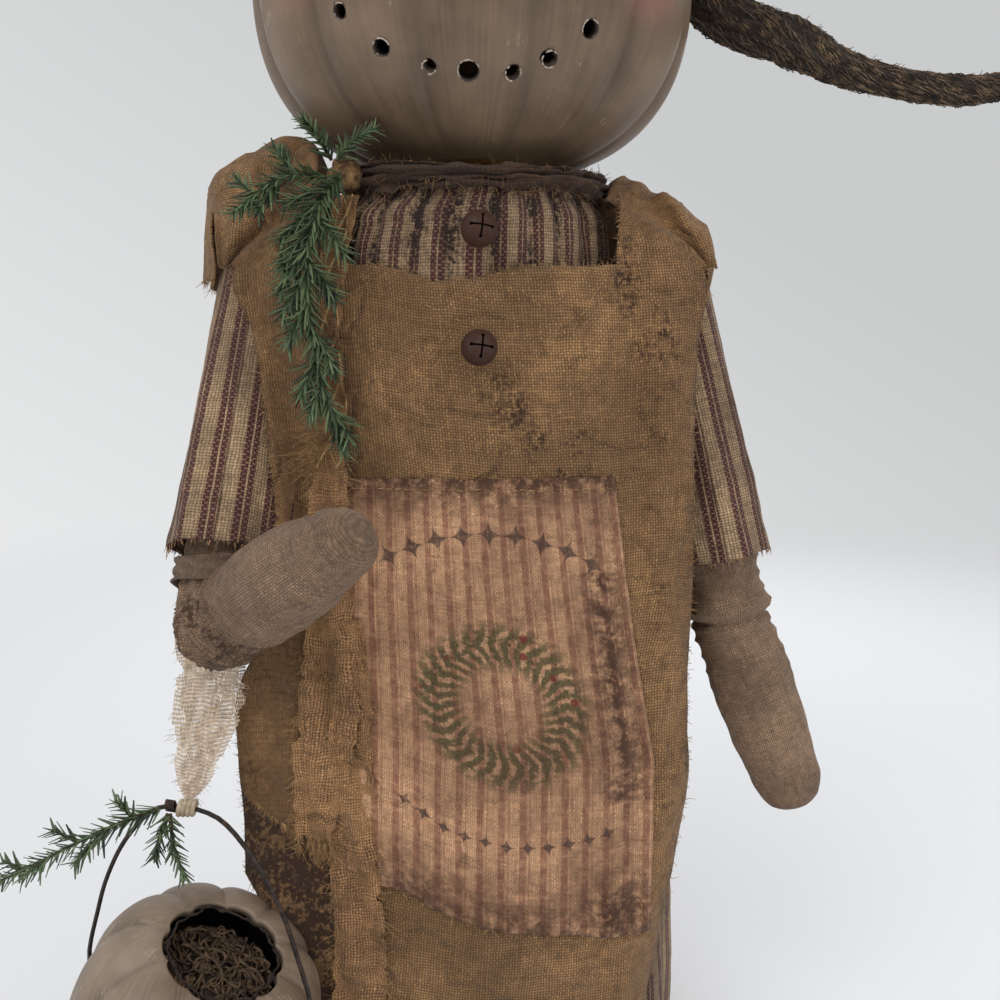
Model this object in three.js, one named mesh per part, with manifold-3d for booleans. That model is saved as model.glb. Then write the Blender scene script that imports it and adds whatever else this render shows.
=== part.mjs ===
// Folk art doll with a pumpkin head: a stuffed cloth doll on an oval base that carries a small pumpkin pail.
// Millimetres, +Z up, the doll faces -Y. The origin is the middle of the base's underside.
// "Right" and "left" are the doll's own sides, so its right arm is on -X.
import * as THREE from 'three';
import { mergeVertices } from 'three/addons/utils/BufferGeometryUtils.js';
import Module from 'manifold-3d';

const wasm = await Module();
wasm.setup();

// Fits, cloths and cutting tools
const gap = 0.3;
const runningGap = 0.4;
const clothGap = 0.9;
const cloth = 1.4;
const overrun = 3;
const weld = 0.0001;

// Base and neck post
const baseThickness = 18;
const baseHalfWidth = 88;
const baseHalfDepth = 58;
const baseEdge = 2;
const postRadius = 9.5;
const postSocketDepth = 12;

// Stuffed body: rows of [height share, width share, depth share, sideways lean share]
const bodyHeight = 446;
const bodyHalfWidth = 92;
const bodyHalfDepth = 60;
const bodySquareness = 2.6;
const bodyLean = 5;
const bodySides = 24;
const bodyShares = [
  [0, 0.97, 0.96, 0],
  [0.1, 1, 1, 0.1],
  [0.25, 0.99, 1, 0.3],
  [0.45, 0.95, 0.99, 0.6],
  [0.65, 0.86, 0.97, 0.8],
  [0.8, 0.77, 0.96, 1],
  [0.88, 0.745, 0.95, 1],
  [0.93, 0.725, 0.94, 0.8],
  [0.965, 0.64, 0.9, 0.4],
  [0.985, 0.5, 0.78, 0.1],
];
const muslin = 1.2;
const bagHeight = 70;
const bagMarginShare = 0.68;
const bagBulgeShare = 0.25;
const cordRadius = 1.25;
const cordKnotRadius = 3;
const shoulderHeightShare = 0.915;
const armClearance = 2.4;

// Dress: its ease beyond the body, in shares of the flare, by height share
const skirtFlare = 17;
const skirtEaseShares = [
  [0, 0.85],
  [0.25, 0.6],
  [0.45, 0.25],
  [0.65, 0.08],
  [0.8, 0],
];
const hemHeight = 4;
const foldDepth = 2.4;
const foldCount = 12;
const dressSides = 36;
const neckHalfWidth = 58;
const neckHalfDepth = 57;
const neckHeight = 22;
const tieHeight = 15;
const tieThickness = 4;
const tieKnotRadius = 9;
const knotTurn = 218;

// Arms: directions are unit shares, and limb radii run from the upper end to the lower
const armRadius = 22.4;
const upperArmLength = 182;
const forearmLength = 107;
const upperArmShares = [1, 1.03, 1.04, 1, 0.94, 0.92];
const elbowRadiusShare = 0.92;
const forearmShares = [0.84, 0.9, 0.93, 0.9, 0.84, 0.76];
const handRoundShare = 0.76;
const limbSides = 16;
const sleeveFlareShare = 0.12;
const sleeveLengthShare = 0.82;
const rightUpperShares = [-0.074, -0.412, -0.908];
const rightForearmShares = [0.675, -0.513, 0.535];
const leftUpperShares = [0.214, -0.053, -0.975];
const leftForearmShares = [0.357, -0.045, -0.933];
const rightElbowRange = [-15, 45];
const leftElbowRange = [0, 60];

// Tunic: a length of cloth with a neck opening and cap shoulders
const tunicEase = 1.9;
const tunicHem = 46;
const tunicBackHem = 112;
const tunicHalfWidths = { right: 116, left: 107 };
const tunicNecklineShare = 0.905;
const tunicEdgeShare = 0.8;
const hemRise = 132;
const hemRiseShares = [1, 0.62, 0.25, 0.06, 0, 0, 0, 0, 0];
const capLipShare = 1.02;
const capDepthShare = 1.3;
const capSag = 5;
const rightCapShares = [[-8, 1.5], [40, 1.62], [68, 2.1], [92, 2.55], [112, 2.5]];
const leftCapShares = [[-20, 1.3], [20, 1.16], [58, 1.22], [88, 1.5], [108, 1.78]];

// Sack panel on the tunic: corners as shares of its half width, and heights
const sackHalfWidth = 61;
const sackOffset = 3;
const sackTopShare = 0.69;
const sackDropShare = 0.415;
const sackSlantShare = 0.24;
const sackFlareShare = 0.26;
const sackEaseShare = 1.15;

// Jingle bells
const bellRadius = 8.2;
const bellWall = 0.7;
const bellSlot = 1.5;
const bellSlotShare = 0.62;
const bellLoopRadius = 1.8;
const bellWire = 0.7;
const threadRadius = 0.4;
const pelletRadius = 2;
const upperBellShare = 0.941;
const lowerBellShare = 0.827;
const bellOffset = 4;
const bellDroop = 12;

// Pumpkin head
const headHalfWidth = 105;
const headHalfDepth = 100;
const headHalfHeight = 93;
const headWall = 6;
const headRise = 4;
const headLobes = 12;
const headGroove = 4;
const headGroovePhase = 17;
const headBlockRadius = 26;
const headBlockHeight = 56;
const postInBlock = 42;
const faceHoleRadius = 3.6;
// Holes of the face: [across share, up share, radius share]
const faceShares = [
  [-0.5, -0.43, 0.85],
  [-0.34, -0.585, 0.95],
  [-0.155, -0.67, 0.75],
  [0, -0.685, 1.15],
  [0.175, -0.69, 0.85],
  [0.32, -0.63, 0.9],
  [0.477, -0.5, 1],
  [-0.36, 0.16, 1.65],
  [0.36, 0.16, 1.65],
  [0, -0.12, 0.9],
];
const pumpkinSquareness = 2.6;

// Cap: crown over the head's top and a long wired tail
const capWall = 3;
const capLatitude = 20;
const cuffHeight = 22;
const cuffThickness = 7;
const tailRadius = 23;
const tailSides = 12;
const tailRadiusShares = [1, 0.85, 0.62, 0.52, 0.5, 0.47, 0.33, 0.29, 0.24, 0.12];
const tailWireRadius = 0.9;
const tailRange = [0, 40];
// Middle line of the tail from the crown to its tip, as shares of the head's half width, depth and height
const tailPathShares = [
  [0.36, 0.28, 0.93],
  [0.7, 0.52, 0.93],
  [1.06, 0.6, 0.5],
  [1.14, 0.3, 0],
  [1.457, 0.06, -0.26],
  [1.77, -0.06, -0.473],
  [2.143, -0.1, -0.56],
  [2.42, -0.1, -0.555],
  [2.7, -0.1, -0.5],
  [2.9, -0.09, -0.39],
];

// Pail and what hangs it
const pailRadius = 54;
const pailHalfHeight = 44;
const pailWall = 4.5;
const pailLobes = 10;
const pailGroove = 2.4;
const hangerLength = 88;
const pailClearance = 3.5;
const pailSideShare = 0.805;
const pailOpeningRadius = 24.5;
const pailAxisShares = [0.42, -0.2, 0.88];
const earRise = 8;
const earTurn = 19;
const bailWire = 1.1;
const bailRise = 88;
const bailSteps = 48;
// Half of the bail from its ear to its top: [out share, up share]
const bailShares = [
  [0.84, 0], [0.95, 0], [1.05, 0.005], [1.09, 0.05], [1.07, 0.14],
  [0.98, 0.32], [0.86, 0.53], [0.64, 0.77], [0.34, 0.96], [0.15, 1],
];
const pailEyeRadius = 4.2;
const pailEyeTurns = [-33, 27];
const pailEyeShare = 0.57;
const mossReliefShare = 0.1;
const mossTopShares = [[0.8, 0.35], [0.5, 0.55]];
const mossPeakShare = 0.62;
const hangerKnotRadius = 4.6;
const hangerKnotShare = 0.7;
const hangerWidth = 10;
const hangerThickness = 1.6;
const hangerPlaceShare = 0.88;
const hangerTurn = 55;
const wrapWidth = 11;
const wrapThickness = 2.6;
const beadRadius = 3.2;

// Greenery
const sprigRadius = 12;
const sprigStem = 1.6;
const sprigSides = 8;
const sprigThicknessShare = 0.7;
const sprigEndShare = 0.03;
const sprigStepShare = 0.55;

// Tie tail: cheesecloth that hangs from the neck knot. Rows of [height share, half width share]
const tieTailWidth = 12;
const tieTailEnd = 42;
const tieTailRows = 22;
const tieTailColumns = 4;
const tieTailLayers = 4.2;
const tieTailShares = [[0, 0.3], [0.24, 0.3], [0.34, 0.95], [0.45, 0.8], [0.6, 1], [0.75, 0.9], [0.9, 1], [1, 0.6]];
const tieTailPathShares = [[0, 1], [0.1, 1.06], [0.3, 1.08], [0.45, 1.2], [0.7, 1.14], [0.85, 1], [1, 0.95]];

const vector = (x, y, z) => new THREE.Vector3(x, y, z);
const fromShares = ([x, y, z]) => vector(x, y, z).normalize();
const radians = THREE.MathUtils.degToRad;

// Value of a column of a share table at a place, straight between the table's rows
function tableAt(rows, place, column) {
  const above = rows.findIndex((row) => place <= row[0]);
  if (above === 0) return rows[0][column];
  if (above < 0) return rows.at(-1)[column];
  const low = rows[above - 1];
  const part = (place - low[0]) / (rows[above][0] - low[0]);
  return low[column] + part * (rows[above][column] - low[column]);
}

// Value at a place between 0 and 1 in a list of evenly spaced shares
function listAt(shares, place) {
  const last = shares.length - 1;
  const index = Math.min(Math.floor(place * last), last - 1);
  return THREE.MathUtils.lerp(shares[index], shares[index + 1], place * last - index);
}

// Indexed geometry with its faces pointing out
function closedSurface(points, triangles) {
  let volume = 0;
  for (let i = 0; i < triangles.length; i += 3) {
    const [a, b, c] = [points[triangles[i]], points[triangles[i + 1]], points[triangles[i + 2]]];
    volume += a.dot(b.clone().cross(c));
  }
  const facesOut = volume > 0 ? triangles : triangles.slice().reverse();
  const geometry = new THREE.BufferGeometry().setFromPoints(points);
  geometry.setIndex(facesOut);
  return geometry;
}

// Skin through rings of points. A loop joins the last ring to the first, and otherwise poles close the ends.
function loft(rings, { loop = false, startPole, endPole } = {}) {
  const count = rings[0].length;
  const points = rings.flat();
  const triangles = [];
  const bands = loop ? rings.length : rings.length - 1;
  for (let i = 0; i < bands; i += 1) {
    const low = i * count;
    const high = ((i + 1) % rings.length) * count;
    for (let j = 0; j < count; j += 1) {
      const next = (j + 1) % count;
      triangles.push(low + j, low + next, high + next, low + j, high + next, high + j);
    }
  }
  if (!loop) {
    const middle = (ring) => ring.reduce((sum, p) => sum.add(p), vector(0, 0, 0)).divideScalar(count);
    points.push(startPole ?? middle(rings[0]), endPole ?? middle(rings.at(-1)));
    const top = (rings.length - 1) * count;
    for (let j = 0; j < count; j += 1) {
      const next = (j + 1) % count;
      triangles.push(points.length - 2, next, j);
      triangles.push(points.length - 1, top + j, top + next);
    }
  }
  return closedSurface(points, triangles);
}

// Cloth of even thickness over a grid of places. keep says which cells of the grid are cloth.
function sheet(place, columns, rows, thickness, keep = () => true) {
  const at = (i, j) => place(THREE.MathUtils.clamp(i, 0, columns), THREE.MathUtils.clamp(j, 0, rows));
  const points = [];
  for (const side of [-1, 1]) {
    for (let j = 0; j <= rows; j += 1) {
      for (let i = 0; i <= columns; i += 1) {
        const across = at(i + 1, j).sub(at(i - 1, j));
        const along = at(i, j + 1).sub(at(i, j - 1));
        const normal = across.cross(along).normalize();
        points.push(at(i, j).addScaledVector(normal, (side * thickness) / 2));
      }
    }
  }
  const layer = (columns + 1) * (rows + 1);
  const kept = (i, j) => i >= 0 && j >= 0 && i < columns && j < rows && keep(i, j);
  const triangles = [];
  for (let j = 0; j < rows; j += 1) {
    for (let i = 0; i < columns; i += 1) {
      if (kept(i, j)) {
        const a = j * (columns + 1) + i;
        const b = a + 1;
        const d = a + columns + 1;
        const c = d + 1;
        triangles.push(layer + a, layer + b, layer + c, layer + a, layer + c, layer + d);
        triangles.push(a, c, b, a, d, c);
        const edges = [[a, b, i, j - 1], [b, c, i + 1, j], [c, d, i, j + 1], [d, a, i - 1, j]];
        for (const [p, q, besideI, besideJ] of edges) {
          if (!kept(besideI, besideJ)) triangles.push(p, q, layer + q, p, layer + q, layer + p);
        }
      }
    }
  }
  const used = [...new Set(triangles)].sort((a, b) => a - b);
  const renumber = new Map(used.map((old, index) => [old, index]));
  return closedSurface(used.map((old) => points[old]), triangles.map((old) => renumber.get(old)));
}

function toSolid(geometry) {
  const bare = geometry.clone();
  bare.deleteAttribute('normal');
  bare.deleteAttribute('uv');
  const merged = mergeVertices(bare, weld);
  const vertProperties = Float32Array.from(merged.attributes.position.array);
  const triVerts = Uint32Array.from(merged.index.array);
  return new wasm.Manifold(new wasm.Mesh({ numProp: 3, vertProperties, triVerts }));
}

function toGeometry(solid) {
  const mesh = solid.getMesh();
  const geometry = new THREE.BufferGeometry();
  geometry.setAttribute('position', new THREE.BufferAttribute(Float32Array.from(mesh.vertProperties), 3));
  geometry.setIndex(Array.from(mesh.triVerts));
  return geometry;
}

const carve = (geometry, ...tools) => toGeometry(
  tools.reduce((solid, tool) => solid.subtract(toSolid(tool)), toSolid(geometry)),
);
const fuse = (geometry, ...others) => toGeometry(
  others.reduce((solid, other) => solid.add(toSolid(other)), toSolid(geometry)),
);

// Straight round bar between two points
function rod(from, to, radius, sides = 16) {
  const along = to.clone().sub(from);
  const geometry = new THREE.CylinderGeometry(radius, radius, along.length(), sides);
  geometry.applyQuaternion(new THREE.Quaternion().setFromUnitVectors(vector(0, 1, 0), along.normalize()));
  const middle = from.clone().add(to).divideScalar(2);
  return geometry.translate(middle.x, middle.y, middle.z);
}

function ball(centre, radius, sides = 12) {
  return new THREE.SphereGeometry(radius, sides, sides / 2).translate(centre.x, centre.y, centre.z);
}

// Round hole or ball that clears a faceted ball of the given radius however it turns
const clearOf = (radius, sides) => (radius + runningGap) / Math.cos(Math.PI / sides) ** 2;

// Round wire along points
function wire(points, radius, sides, steps) {
  const outline = Array.from({ length: sides }, (unused, k) => {
    const angle = (2 * Math.PI * k) / sides;
    return new THREE.Vector2(radius * Math.cos(angle), radius * Math.sin(angle));
  });
  const extrudePath = new THREE.CatmullRomCurve3(points, false, 'centripetal');
  return new THREE.ExtrudeGeometry(new THREE.Shape(outline), { steps, bevelEnabled: false, extrudePath });
}

// Ring of points round a centre, across a direction. wide points along the ring's first radius.
function ringAcross(centre, direction, wide, firstRadius, secondRadius, sides) {
  const first = wide.clone().addScaledVector(direction, -wide.dot(direction)).normalize();
  const second = direction.clone().cross(first);
  return Array.from({ length: sides }, (unused, k) => {
    const angle = (2 * Math.PI * (k + 0.5)) / sides;
    const point = centre.clone().addScaledVector(first, firstRadius * Math.cos(angle));
    return point.addScaledVector(second, secondRadius * Math.sin(angle));
  });
}

// Stuffed limb from start to end, with round ends where asked, and extra added to its radius
const roundAngles = [75, 50, 25];
function limb(start, end, shares, { extra = 0, roundStart = false, roundEnd = false, bands = 6 } = {}) {
  const direction = end.clone().sub(start).normalize();
  const across = vector(1, 0, 0);
  const radiusAt = (place) => armRadius * listAt(shares, place) + extra;
  const ring = (centre, radius) => ringAcross(centre, direction, across, radius, radius, limbSides);
  const capped = (centre, radius, side) => roundAngles.map((angle) => {
    const reach = side * radius * Math.sin(radians(angle));
    return ring(centre.clone().addScaledVector(direction, reach), radius * Math.cos(radians(angle)));
  });
  const rings = Array.from({ length: bands + 1 }, (unused, k) => (
    ring(start.clone().lerp(end, k / bands), radiusAt(k / bands))
  ));
  if (roundStart) rings.unshift(...capped(start, radiusAt(0), -1));
  if (roundEnd) rings.push(...capped(end, radiusAt(1), 1).reverse());
  const startPole = start.clone().addScaledVector(direction, roundStart ? -radiusAt(0) : 0);
  const endPole = end.clone().addScaledVector(direction, roundEnd ? radiusAt(1) : 0);
  return loft(rings, { startPole, endPole });
}

// Tapered body along a path, wide across one direction and thick across the other
function strand(points, sizeAt, wide, sides, steps) {
  const path = new THREE.CatmullRomCurve3(points, false, 'centripetal');
  const rings = Array.from({ length: steps + 1 }, (unused, k) => {
    const place = k / steps;
    const [first, second] = sizeAt(place);
    return ringAcross(path.getPointAt(place), path.getTangentAt(place), wide, first, second, sides);
  });
  return loft(rings);
}

// Body outline at a height
const bodyBottom = baseThickness + gap;
const shoulderHeight = bodyBottom + bodyHeight * shoulderHeightShare;
function bodyAt(height) {
  const place = THREE.MathUtils.clamp((height - bodyBottom) / bodyHeight, 0, 1);
  return {
    width: bodyHalfWidth * tableAt(bodyShares, place, 1),
    depth: bodyHalfDepth * tableAt(bodyShares, place, 2),
    lean: -bodyLean * tableAt(bodyShares, place, 3),
  };
}

// Points of a rounded oblong outline at a height, with waves where folds are asked for
function outlinePoint(height, { width, depth, lean }, angle, fold = 0) {
  const [c, s] = [Math.cos(angle), Math.sin(angle)];
  const wave = fold * Math.cos(foldCount * angle);
  const x = Math.sign(c) * Math.abs(c) ** (2 / bodySquareness) * (width + wave) + lean;
  const y = Math.sign(s) * Math.abs(s) ** (2 / bodySquareness) * (depth + wave);
  return vector(x, y, height);
}
function outlineRing(height, outline, sides, fold = 0) {
  return Array.from({ length: sides }, (unused, k) => (
    outlinePoint(height, outline, (2 * Math.PI * k) / sides, fold)
  ));
}
const grown = ({ width, depth, lean }, by) => ({ width: width + by, depth: depth + by, lean });

// Heights on the body, and the hole through what the arms' cord passes
const onBody = (share) => bodyBottom + bodyHeight * share;
const tunicNeckline = onBody(tunicNecklineShare);
const upperBellHeight = onBody(upperBellShare);
const lowerBellHeight = onBody(lowerBellShare);
const cordStart = vector(-bodyHalfWidth - overrun, 0, shoulderHeight);
const cordHole = rod(cordStart, vector(-cordStart.x, 0, shoulderHeight), cordRadius + runningGap, 8);

const group = new THREE.Group();
group.name = 'folk_art_doll';
function add(name, geometry, color, roughness = 0.9, metalness = 0) {
  const mesh = new THREE.Mesh(geometry, new THREE.MeshStandardMaterial({ color, roughness, metalness }));
  mesh.name = name;
  group.add(mesh);
}

const colors = {
  wood: '#b08a5a',
  muslin: '#d8c9a6',
  stuffing: '#efe9dc',
  stripe: '#9a7258',
  burlap: '#a9814d',
  cheesecloth: '#b88a55',
  gauze: '#c9bca4',
  sack: '#b98a6c',
  linen: '#8d7a68',
  pumpkin: '#8f8076',
  wool: '#3a2f26',
  rust: '#6f3f2a',
  wire: '#2c2724',
  green: '#35523b',
  moss: '#5e4a35',
};

// Oval base with a blind socket for the post
function base() {
  const outline = { width: baseHalfWidth, depth: baseHalfDepth, lean: 0 };
  const edge = grown(outline, -baseEdge);
  const rings = [
    outlineRing(0, edge, dressSides),
    outlineRing(baseEdge, outline, dressSides),
    outlineRing(baseThickness - baseEdge, outline, dressSides),
    outlineRing(baseThickness, edge, dressSides),
  ];
  const socketFloor = vector(0, 0, baseThickness - postSocketDepth);
  const socketTop = vector(0, 0, baseThickness + overrun);
  add('base_disc', carve(loft(rings), rod(socketFloor, socketTop, postRadius + gap)), colors.wood, 0.8);
}

// Head frame: where the head sits, and its block, which turns on the post
const bodyTop = bodyBottom + bodyHeight;
const headBottom = bodyTop + headRise;
const headCentre = vector(0, 0, headBottom + headHalfHeight);
const blockBottom = headBottom + headWall + gap;
const postTop = blockBottom + postInBlock;

function post() {
  const bottom = baseThickness - postSocketDepth + gap;
  const dowel = rod(vector(0, 0, bottom), vector(0, 0, postTop), postRadius);
  add('neck_post', carve(dowel, cordHole), colors.wood, 0.8);
}

// Muslin casing with an open foot and neck, the filling round the post, and the bag of weights in its foot
const postClear = postRadius + runningGap;
const fillingRows = [0, 0.25, 0.45, 0.65, 0.8, 0.93];
const bagRows = [0, 0.35, 0.7, 1];
const bagSides = 16;
function body() {
  const shell = (by) => bodyShares.map(([place]) => {
    const height = bodyBottom + bodyHeight * place;
    return outlineRing(height, grown(bodyAt(height), by), bodySides);
  });
  const neck = outlineRing(bodyTop, { width: postClear + muslin, depth: postClear + muslin, lean: 0 }, bodySides);
  const inner = shell(-muslin);
  const neckInner = outlineRing(bodyTop - muslin, { width: postClear, depth: postClear, lean: 0 }, bodySides);
  const casing = loft([...shell(0), neck, neckInner, ...inner.reverse()], { loop: true });
  add('muslin_body', carve(casing, cordHole), colors.muslin);

  const filling = loft(fillingRows.map((place) => {
    const height = bodyBottom + gap + (bodyHeight - muslin) * place;
    return outlineRing(height, grown(bodyAt(height), -muslin - clothGap), bodySides);
  }));
  const postHole = rod(vector(0, 0, 0), vector(0, 0, bodyTop + overrun), postClear + clothGap);
  const bagSize = { width: bodyHalfWidth * bagMarginShare, depth: bodyHalfDepth * bagMarginShare, lean: 0 };
  const bag = (by, below) => loft(bagRows.map((place, row) => {
    const past = row === 0 ? -below : by * place;
    const bulge = by - bagHeight * bagBulgeShare * (place - bagRows[1]) ** 2;
    return outlineRing(bodyBottom + gap + bagHeight * place + past, grown(bagSize, bulge), bagSides);
  }));
  add('weight_bag', carve(bag(0, 0), postHole), colors.muslin);
  add('body_stuffing', carve(filling, bag(clothGap, overrun), postHole, cordHole), colors.stuffing);
}

// Dress: follows the body at the chest, flares to the hem and stands up as a gathered neck
const neckBottom = bodyBottom + bodyHeight * bodyShares.at(-2)[0];
const neckTop = neckBottom + neckHeight;
const neckOutline = { width: neckHalfWidth, depth: neckHalfDepth, lean: 0 };
function skirtEase(height) {
  const place = (height - bodyBottom) / bodyHeight;
  return skirtFlare * (place < 0 ? 1 : tableAt(skirtEaseShares, place, 1));
}
const foldAt = (height) => foldDepth * Math.min(1, skirtEase(height) / skirtFlare);
// Outer face of the dress at a height, over the crests of its folds
function dressAt(height) {
  return grown(bodyAt(height), clothGap + cloth + skirtEase(height) + foldAt(height));
}
function dress() {
  const heights = [hemHeight, ...bodyShares.slice(1, -1).map(([place]) => bodyBottom + bodyHeight * place)];
  const shell = (by) => [
    ...heights.map((height) => {
      const fold = foldAt(height);
      return outlineRing(height, grown(dressAt(height), by - fold), dressSides, fold);
    }),
    outlineRing(neckBottom + neckHeight / 3, grown(neckOutline, by), dressSides, foldDepth / 3),
    outlineRing(neckTop, grown(neckOutline, by), dressSides, foldDepth / 3),
  ];
  const geometry = loft([...shell(0), ...shell(-cloth).reverse()], { loop: true });
  add('striped_dress', carve(geometry, cordHole), colors.stripe);
}

// Neck tie: a strip round the gathers with its knot at the right front
const tieCentre = (neckTop + neckBottom) / 2 + tieHeight / 5;
const tieMiddle = grown(neckOutline, foldDepth / 3 + gap + tieThickness / 2);
const knotLine = grown(neckOutline, foldDepth / 3 + gap + tieKnotRadius);
const knotPlace = outlinePoint(tieCentre, knotLine, radians(knotTurn));
function neckTie() {
  const half = tieHeight / 2;
  const around = (height, by) => outlineRing(height, grown(tieMiddle, by), dressSides);
  const rings = [
    around(tieCentre - half, 0),
    around(tieCentre - half / 2, tieThickness / 2),
    around(tieCentre, tieThickness / 3),
    around(tieCentre + half / 2, tieThickness / 2),
    around(tieCentre + half, 0),
    around(tieCentre + half / 2, -tieThickness / 2),
    around(tieCentre - half / 2, -tieThickness / 2),
  ];
  add('neck_tie', fuse(loft(rings, { loop: true }), ball(knotPlace, tieKnotRadius)), colors.burlap);
}

// Shoulders: the arms' pivots stand off the dress on one line
const sleeveRadius = armRadius + gap + cloth + gap;
const chest = dressAt(shoulderHeight);
const pivots = {
  right: vector(chest.lean - chest.width - armClearance - sleeveRadius, 0, shoulderHeight),
  left: vector(chest.lean + chest.width + armClearance + sleeveRadius, 0, shoulderHeight),
};

function shoulderCord() {
  const cord = rod(pivots.right, pivots.left, cordRadius, 8);
  const knots = [ball(pivots.right, cordKnotRadius), ball(pivots.left, cordKnotRadius)];
  add('shoulder_cord', fuse(cord, ...knots), colors.muslin);
}

// One arm: stuffed upper arm and forearm that meet at a ball, and the sleeve over the upper arm
const elbowRadius = armRadius * elbowRadiusShare;
const forearmSweep = 4;
function armFrame(side, upperShares, foreShares, elbowRange) {
  const pivot = pivots[side];
  const upper = fromShares(upperShares);
  const fore = fromShares(foreShares);
  const elbow = pivot.clone().addScaledVector(upper, upperArmLength);
  const handRadius = armRadius * handRoundShare;
  const hand = elbow.clone().addScaledVector(fore, forearmLength - handRadius);
  const hinge = side === 'right' ? fore.clone().cross(upper) : fore.clone().cross(vector(0, -1, 0));
  return { side, pivot, upper, fore, elbow, hand, hinge: hinge.normalize(), elbowRange };
}
const arms = [
  armFrame('right', rightUpperShares, rightForearmShares, rightElbowRange),
  armFrame('left', leftUpperShares, leftForearmShares, leftElbowRange),
];

// Point turned about a frame's elbow hinge
function turned(point, frame, degrees) {
  return point.clone().sub(frame.elbow).applyAxisAngle(frame.hinge, radians(degrees)).add(frame.elbow);
}
// Directions of a sweep through the elbow's range, as turns from the rest pose
const sweepOf = ([low, high]) => Array.from({ length: forearmSweep }, (unused, k) => (
  THREE.MathUtils.lerp(low, high, k / (forearmSweep - 1))
));

function arm(frame) {
  const { side, pivot, upper, elbow, hand, elbowRange } = frame;
  const inward = vector(Math.sign(-pivot.x), 0, 0);
  const upperArm = limb(pivot, elbow, upperArmShares, { roundStart: true, roundEnd: true });
  const cordEntry = pivot.clone().addScaledVector(inward, armRadius + overrun);
  const bore = rod(pivot, cordEntry, cordRadius + runningGap, 8);
  const pocket = ball(pivot, clearOf(cordKnotRadius, 12));
  add(`${side}_upper_arm`, carve(upperArm, bore, pocket), colors.linen);

  const socket = ball(elbow, clearOf(elbowRadius, 24), 24);
  const upperEnd = (degrees) => turned(elbow.clone().addScaledVector(upper, -upperArmLength), frame, -degrees);
  const folds = sweepOf(elbowRange).map((degrees) => (
    rod(elbow, upperEnd(degrees), armRadius * upperArmShares.at(-3) + runningGap)
  ));
  const forearm = limb(elbow, hand, forearmShares, { roundEnd: true });
  add(`${side}_forearm`, carve(forearm, socket, ...folds), colors.linen);

  const hem = pivot.clone().addScaledVector(upper, upperArmLength * sleeveLengthShare);
  const past = hem.clone().addScaledVector(upper, overrun);
  const flared = upperArmShares.map((share, k) => share + (sleeveFlareShare * k) / upperArmShares.length);
  const outer = limb(pivot, hem, flared, { extra: gap + cloth, roundStart: true });
  const inner = limb(pivot, past, flared, { extra: gap, roundStart: true });
  const reach = sweepOf(elbowRange).map((degrees) => (
    rod(elbow, turned(hand, frame, degrees), armRadius * Math.max(...forearmShares) + clothGap)
  ));
  const seam = rod(pivot, cordEntry, cordRadius + cloth, 8);
  add(`${side}_sleeve`, carve(outer, inner, seam, ...reach), colors.stripe);
}

// Tunic grid: five cap columns, nine across the panel, five cap columns
const capColumns = rightCapShares.length;
const panelColumns = 9;
const tunicColumns = capColumns * 2 + panelColumns - 1;
const lastPanel = capColumns + panelColumns - 1;
const frontHeights = [0, 0.1, 0.2, 0.3, 0.4, 0.5, 0.6, 0.7, 0.8, 0.9, 1];
const topPhases = [-1, -0.7, -0.35, 0, 0.35, 0.7, 1];
const backHeights = [1, 0.75, 0.5, 0.25, 0];
const lipHeight = shoulderHeight + sleeveRadius * capLipShare;
const capDepth = sleeveRadius * capDepthShare;
const tunicAt = (height) => grown(dressAt(height), tunicEase + cloth / 2);

// Depth of the tunic's front or back at a place: flatter than the body, so its raw edges stand off
function tunicDepth(x, height) {
  const { width, depth, lean } = tunicAt(height);
  const across = Math.min(1, Math.abs(x - lean) / width);
  return depth * (1 - (1 - tunicEdgeShare) * across ** 2);
}

// Half width of the tunic's panel on one side at a height: beside the upper arm it stays inside the arm's swing
function panelEdge(frame, height) {
  const drop = Math.max(0, shoulderHeight - height);
  const armReach = sleeveRadius + sleeveFlareShare * armRadius + cloth;
  const inside = Math.abs(frame.pivot.x) + Math.abs(frame.upper.x) * drop - armReach;
  const belowArm = height < frame.elbow.z - sleeveRadius - cloth;
  const widest = tunicHalfWidths[frame.side];
  return Math.sign(frame.pivot.x) * (belowArm ? widest : Math.min(widest, inside));
}

// Where a panel column stands, as a share from its right edge to its left edge
const neckShares = [0, 0.13, 0.28, 0.42, 0.54, 0.66, 0.78, 0.9, 1];
function panelX(index, height) {
  const right = panelEdge(arms[0], height);
  const left = panelEdge(arms[1], height);
  return THREE.MathUtils.lerp(right, left, neckShares[index]);
}

function capPoint(frame, [angle, share], phase) {
  const side = Math.sign(frame.pivot.x);
  const reach = sleeveRadius * share;
  const x = frame.pivot.x + side * reach * Math.cos(radians(angle));
  const peak = frame.pivot.z + reach * Math.sin(radians(angle));
  const lip = Math.min(lipHeight, peak - capSag);
  return vector(x, capDepth * phase, THREE.MathUtils.lerp(peak, lip, phase * phase));
}

// Strap columns between the caps and the neck opening, over the top of the shoulder
function strapPoint(index, phase) {
  const rightSide = index < capColumns + 2;
  const frame = arms[rightSide ? 0 : 1];
  const side = Math.sign(frame.pivot.x);
  const inner = index === capColumns + 1 || index === lastPanel - 1;
  const clearNeck = tieMiddle.width + tieThickness + clothGap;
  const x = side * (inner ? clearNeck : (clearNeck + Math.abs(frame.pivot.x) - sleeveRadius) / 2);
  const depth = tunicDepth(panelEdge(frame, lipHeight), lipHeight);
  const peak = lipHeight + (inner ? cloth * 2 : capDepth / 4) + capSag;
  return vector(x, depth * phase, THREE.MathUtils.lerp(peak, lipHeight, phase * phase));
}

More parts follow.
